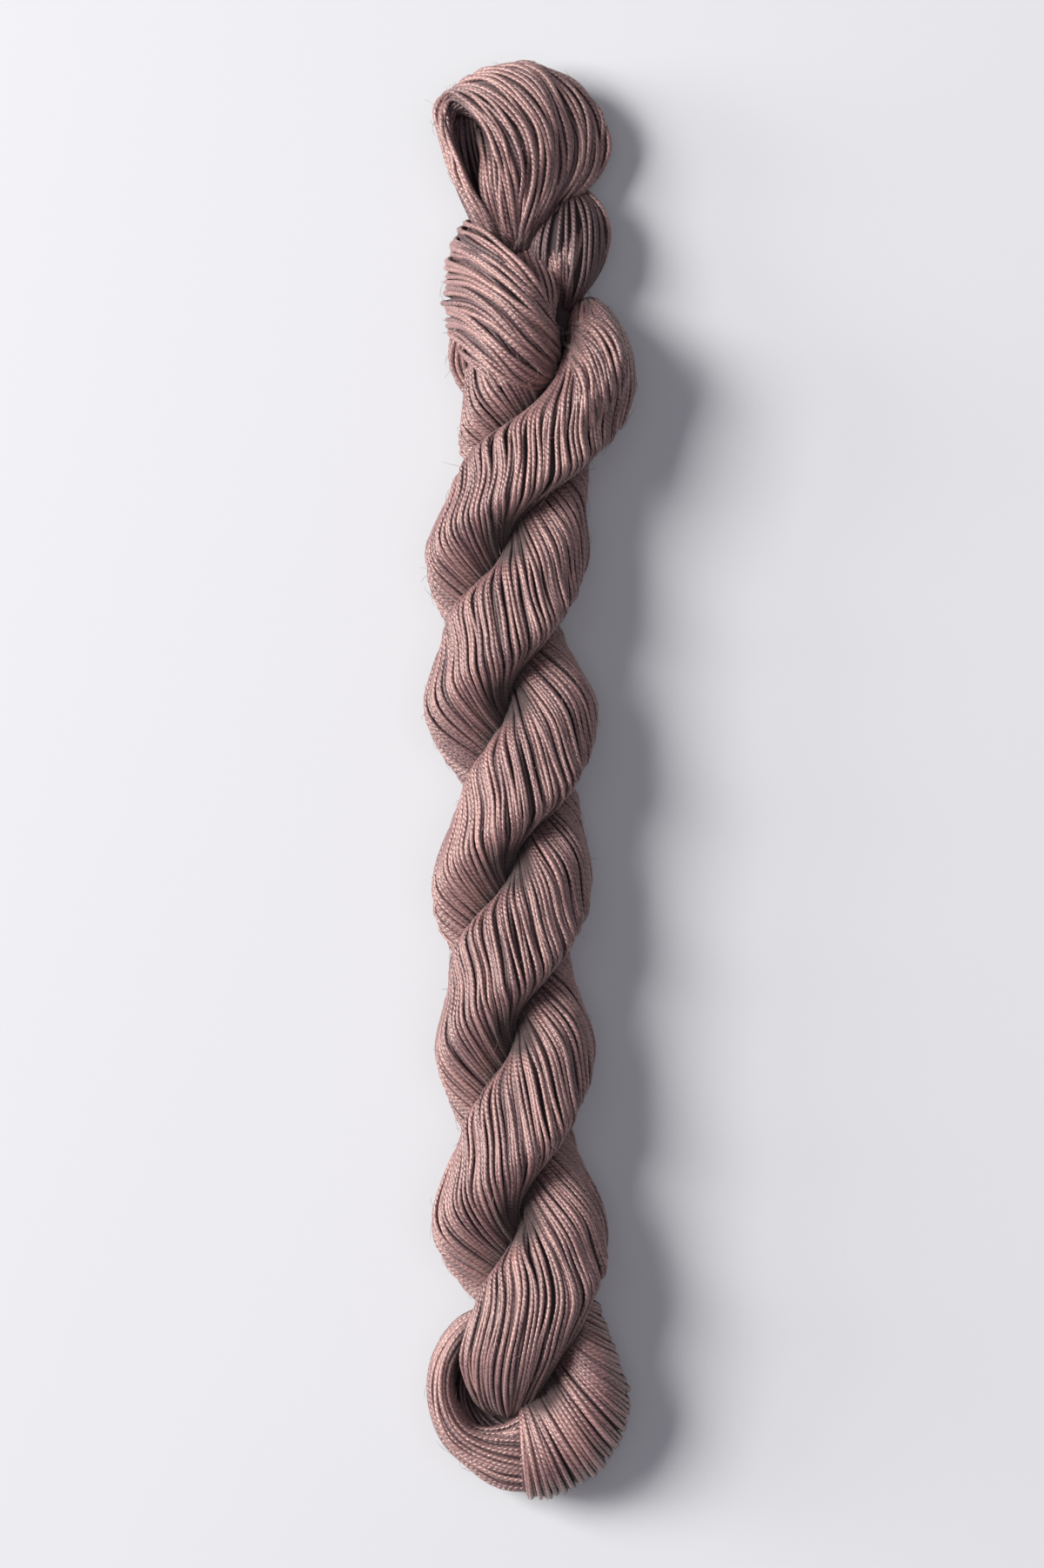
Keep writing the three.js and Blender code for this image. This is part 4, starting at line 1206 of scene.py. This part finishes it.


def stray_fibres(name, sources, count):
    """Fibres from random places on laid yarns: root + length * t * heading + bend * t squared *
    side + height * sin(arc * pi * t) * outward, with t from 0 to 1."""
    lines = np.concatenate([LAID[key][0].reshape(-1, 3) for key in sources])
    out = np.concatenate([LAID[key][1].reshape(-1, 3) for key in sources])
    radius = np.concatenate([LAID[key][2].ravel() for key in sources])
    ahead = np.concatenate([unit(np.gradient(LAID[key][0], axis=1)).reshape(-1, 3)
                            for key in sources])
    pick = rng.choice(len(lines), count, replace=False)
    lines, out, ahead, radius = lines[pick], out[pick], ahead[pick], radius[pick]
    side = np.cross(ahead, out)
    lean = rng.normal(0, FIBRE_SLANT, (count, 1))
    heading = unit(ahead * rng.choice([-1.0, 1.0], (count, 1)) + side * lean)
    length = rng.gamma(*FIBRE_LENGTH[:2], (count, 1)) + FIBRE_LENGTH[2]
    height = rng.gamma(*FIBRE_HEIGHT[:2], (count, 1)) + FIBRE_HEIGHT[2]
    bend = rng.normal(0, FIBRE_BEND, (count, 1)) * length
    t = np.linspace(0, 1, FIBRE_STEPS)[None, :, None]
    curve = (lines + out * (radius[:, None] * ROOT_DEPTH))[:, None]
    curve = curve + (heading * length)[:, None] * t + (side * bend)[:, None] * t ** 2
    curve = curve + (out * height)[:, None] * np.sin(math.pi * FIBRE_ARC * t)
    up = np.broadcast_to(out[:, None], curve.shape)
    thick = FIBRE_RADIUS * (THICK_ROOT - TAPER * t[0, :, 0])
    thick = np.broadcast_to(thick, (count, FIBRE_STEPS))
    return tubes(name, curve, up, thick, rng.uniform(0.5, 1, count), 3)


surface = [piece.name for piece in pieces if not any(word in piece.name for word in DARKER)]
fibres = stray_fibres("stray_fibres", surface, FIBRE_COUNT)
print("fibres stand on:", len(surface), "pieces")

# %% [markdown]
# ## Plain bundles inside
# Last of the shapes come the plain bundles and rests. Most are set in by one or two
# millimetres from the wall, so that they stay out of sight behind the layers over them.

# %% Cores
cores = [
    core("ply_one_core", PLY_ONE, 1.9), core("ply_two_core", PLY_TWO, 1.9),
    core("head_core", HEAD_INNER, 1.2),
    core("collar_core", COLLAR_INNER, 0.6), core("collar_return_core", COLLAR_RETURN, 1.9),
    core("fold_inner_core", around_pit(FOLD_INNER), 1.2),
    core("fold_right_core", FOLD_RIGHT, 1.9), core("fold_arc_core", around_pit(FOLD_ARC), 1.4),
    cushion("fold_rest", FOLD_REST, 4.2), cushion("head_rest", HEAD_REST, 1.0),
    cushion("collar_rest", COLLAR_REST, 0.0),
]
print("plain bundles and rests:", len(cores))

# %% [markdown]
# ## Finish and place of every piece
# Every piece gets its finish and rides on the one body of the hank. Together the pieces take
# the place of the plain solid in the picture.

# %% Hand over the pieces
for piece in pieces:
    # pieces in the shade of another get the painted-shade finish, the cores the darkest one
    shaded = any(word in piece.name for word in DARKER)
    piece.data.materials.append(under if shaded else yarn)
# the plain bundles and rests are painted dark, as shade
for piece in cores:
    piece.data.materials.append(inside)
fibres.data.materials.append(yarn)
pieces.append(fibres)
for piece in pieces + cores:
    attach(piece, BODY)
    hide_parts(NODE)
counts = {
    piece.name: sum(len(face.vertices) - 2 for face in piece.data.polygons)
    for piece in pieces + cores
}
print("triangles:", sum(counts.values()), "in all, and in the largest:", max(counts.values()))

# %% [markdown]
# ## Floor
# The hank lies on a plain pale floor. It is dull, so that it shows no reflection, and it glows
# very faintly, which stands for light thrown back by the rest of the room.

# %% Floor
FLOOR_SIZE = 3.0
FLOOR_LOOK = (
    ("Base Color", (0.48, 0.485, 0.50, 1)), ("Roughness", 0.9),
    ("Emission Color", (0.95, 0.96, 1.0, 1)), ("Emission Strength", 0.055),
    ("Specular IOR Level", 0.1),
)
floor_mesh = bpy.data.meshes.new("floor")
half = FLOOR_SIZE / 2
floor_corners = [(-half, -half, 0), (half, -half, 0), (half, half, 0), (-half, half, 0)]
floor_mesh.from_pydata(floor_corners, [], [(0, 1, 2, 3)])
floor = bpy.data.objects.new("floor", floor_mesh)
bpy.context.scene.collection.objects.link(floor)
floor_material = bpy.data.materials.new("pale_floor")
floor_material.use_nodes = True
floor_shader = floor_material.node_tree.nodes["Principled BSDF"]
for socket, value in FLOOR_LOOK:
    floor_shader.inputs[socket].default_value = value
floor.data.materials.append(floor_material)
print("floor, m:", FLOOR_SIZE)

# %% [markdown]
# ## Light
# One large soft light from the upper left gives each yarn its bright flank and throws a soft
# shadow to the right. A smaller, lower one on the same side rakes over the yarns and brings out
# their twist. A weak light from above and a faint violet surround open the shadow.

# %% Lights
def area_light(name, place, aim, size, power, colour):
    """A square soft light at place, turned to face aim."""
    data = bpy.data.lights.new(name, "AREA")
    data.shape = "SQUARE"
    data.size = size
    data.energy = power
    data.color = colour
    light = bpy.data.objects.new(name, data)
    light.location = place
    direction = np.array(aim) - np.array(place)
    direction = direction / np.linalg.norm(direction)
    yaw = math.atan2(direction[1], direction[0])
    pitch = math.acos(-direction[2])
    light.rotation_euler = (0.0, -pitch, yaw)
    bpy.context.scene.collection.objects.link(light)
    return light


area_light("window", (-1.86, 0.58, 1.90), (0, 0, 0), 1.3, 130.0, (1.0, 0.985, 0.965))
area_light("low_window", (-2.4, 0.30, 0.80), (0, 0, 0), 0.8, 34.0, (1.0, 0.985, 0.97))
area_light("ceiling", (0.2, 0.10, 2.6), (0, 0, 0), 1.8, 14.0, (0.92, 0.90, 1.0))
world = bpy.data.worlds.new("studio")
world.use_nodes = True
surround = world.node_tree.nodes["Background"]
surround.inputs["Color"].default_value = (0.80, 0.755, 0.90, 1)
surround.inputs["Strength"].default_value = 0.16
bpy.context.scene.world = world
bpy.context.scene.view_settings.view_transform = "Standard"
print("lights:", len(bpy.data.lights))
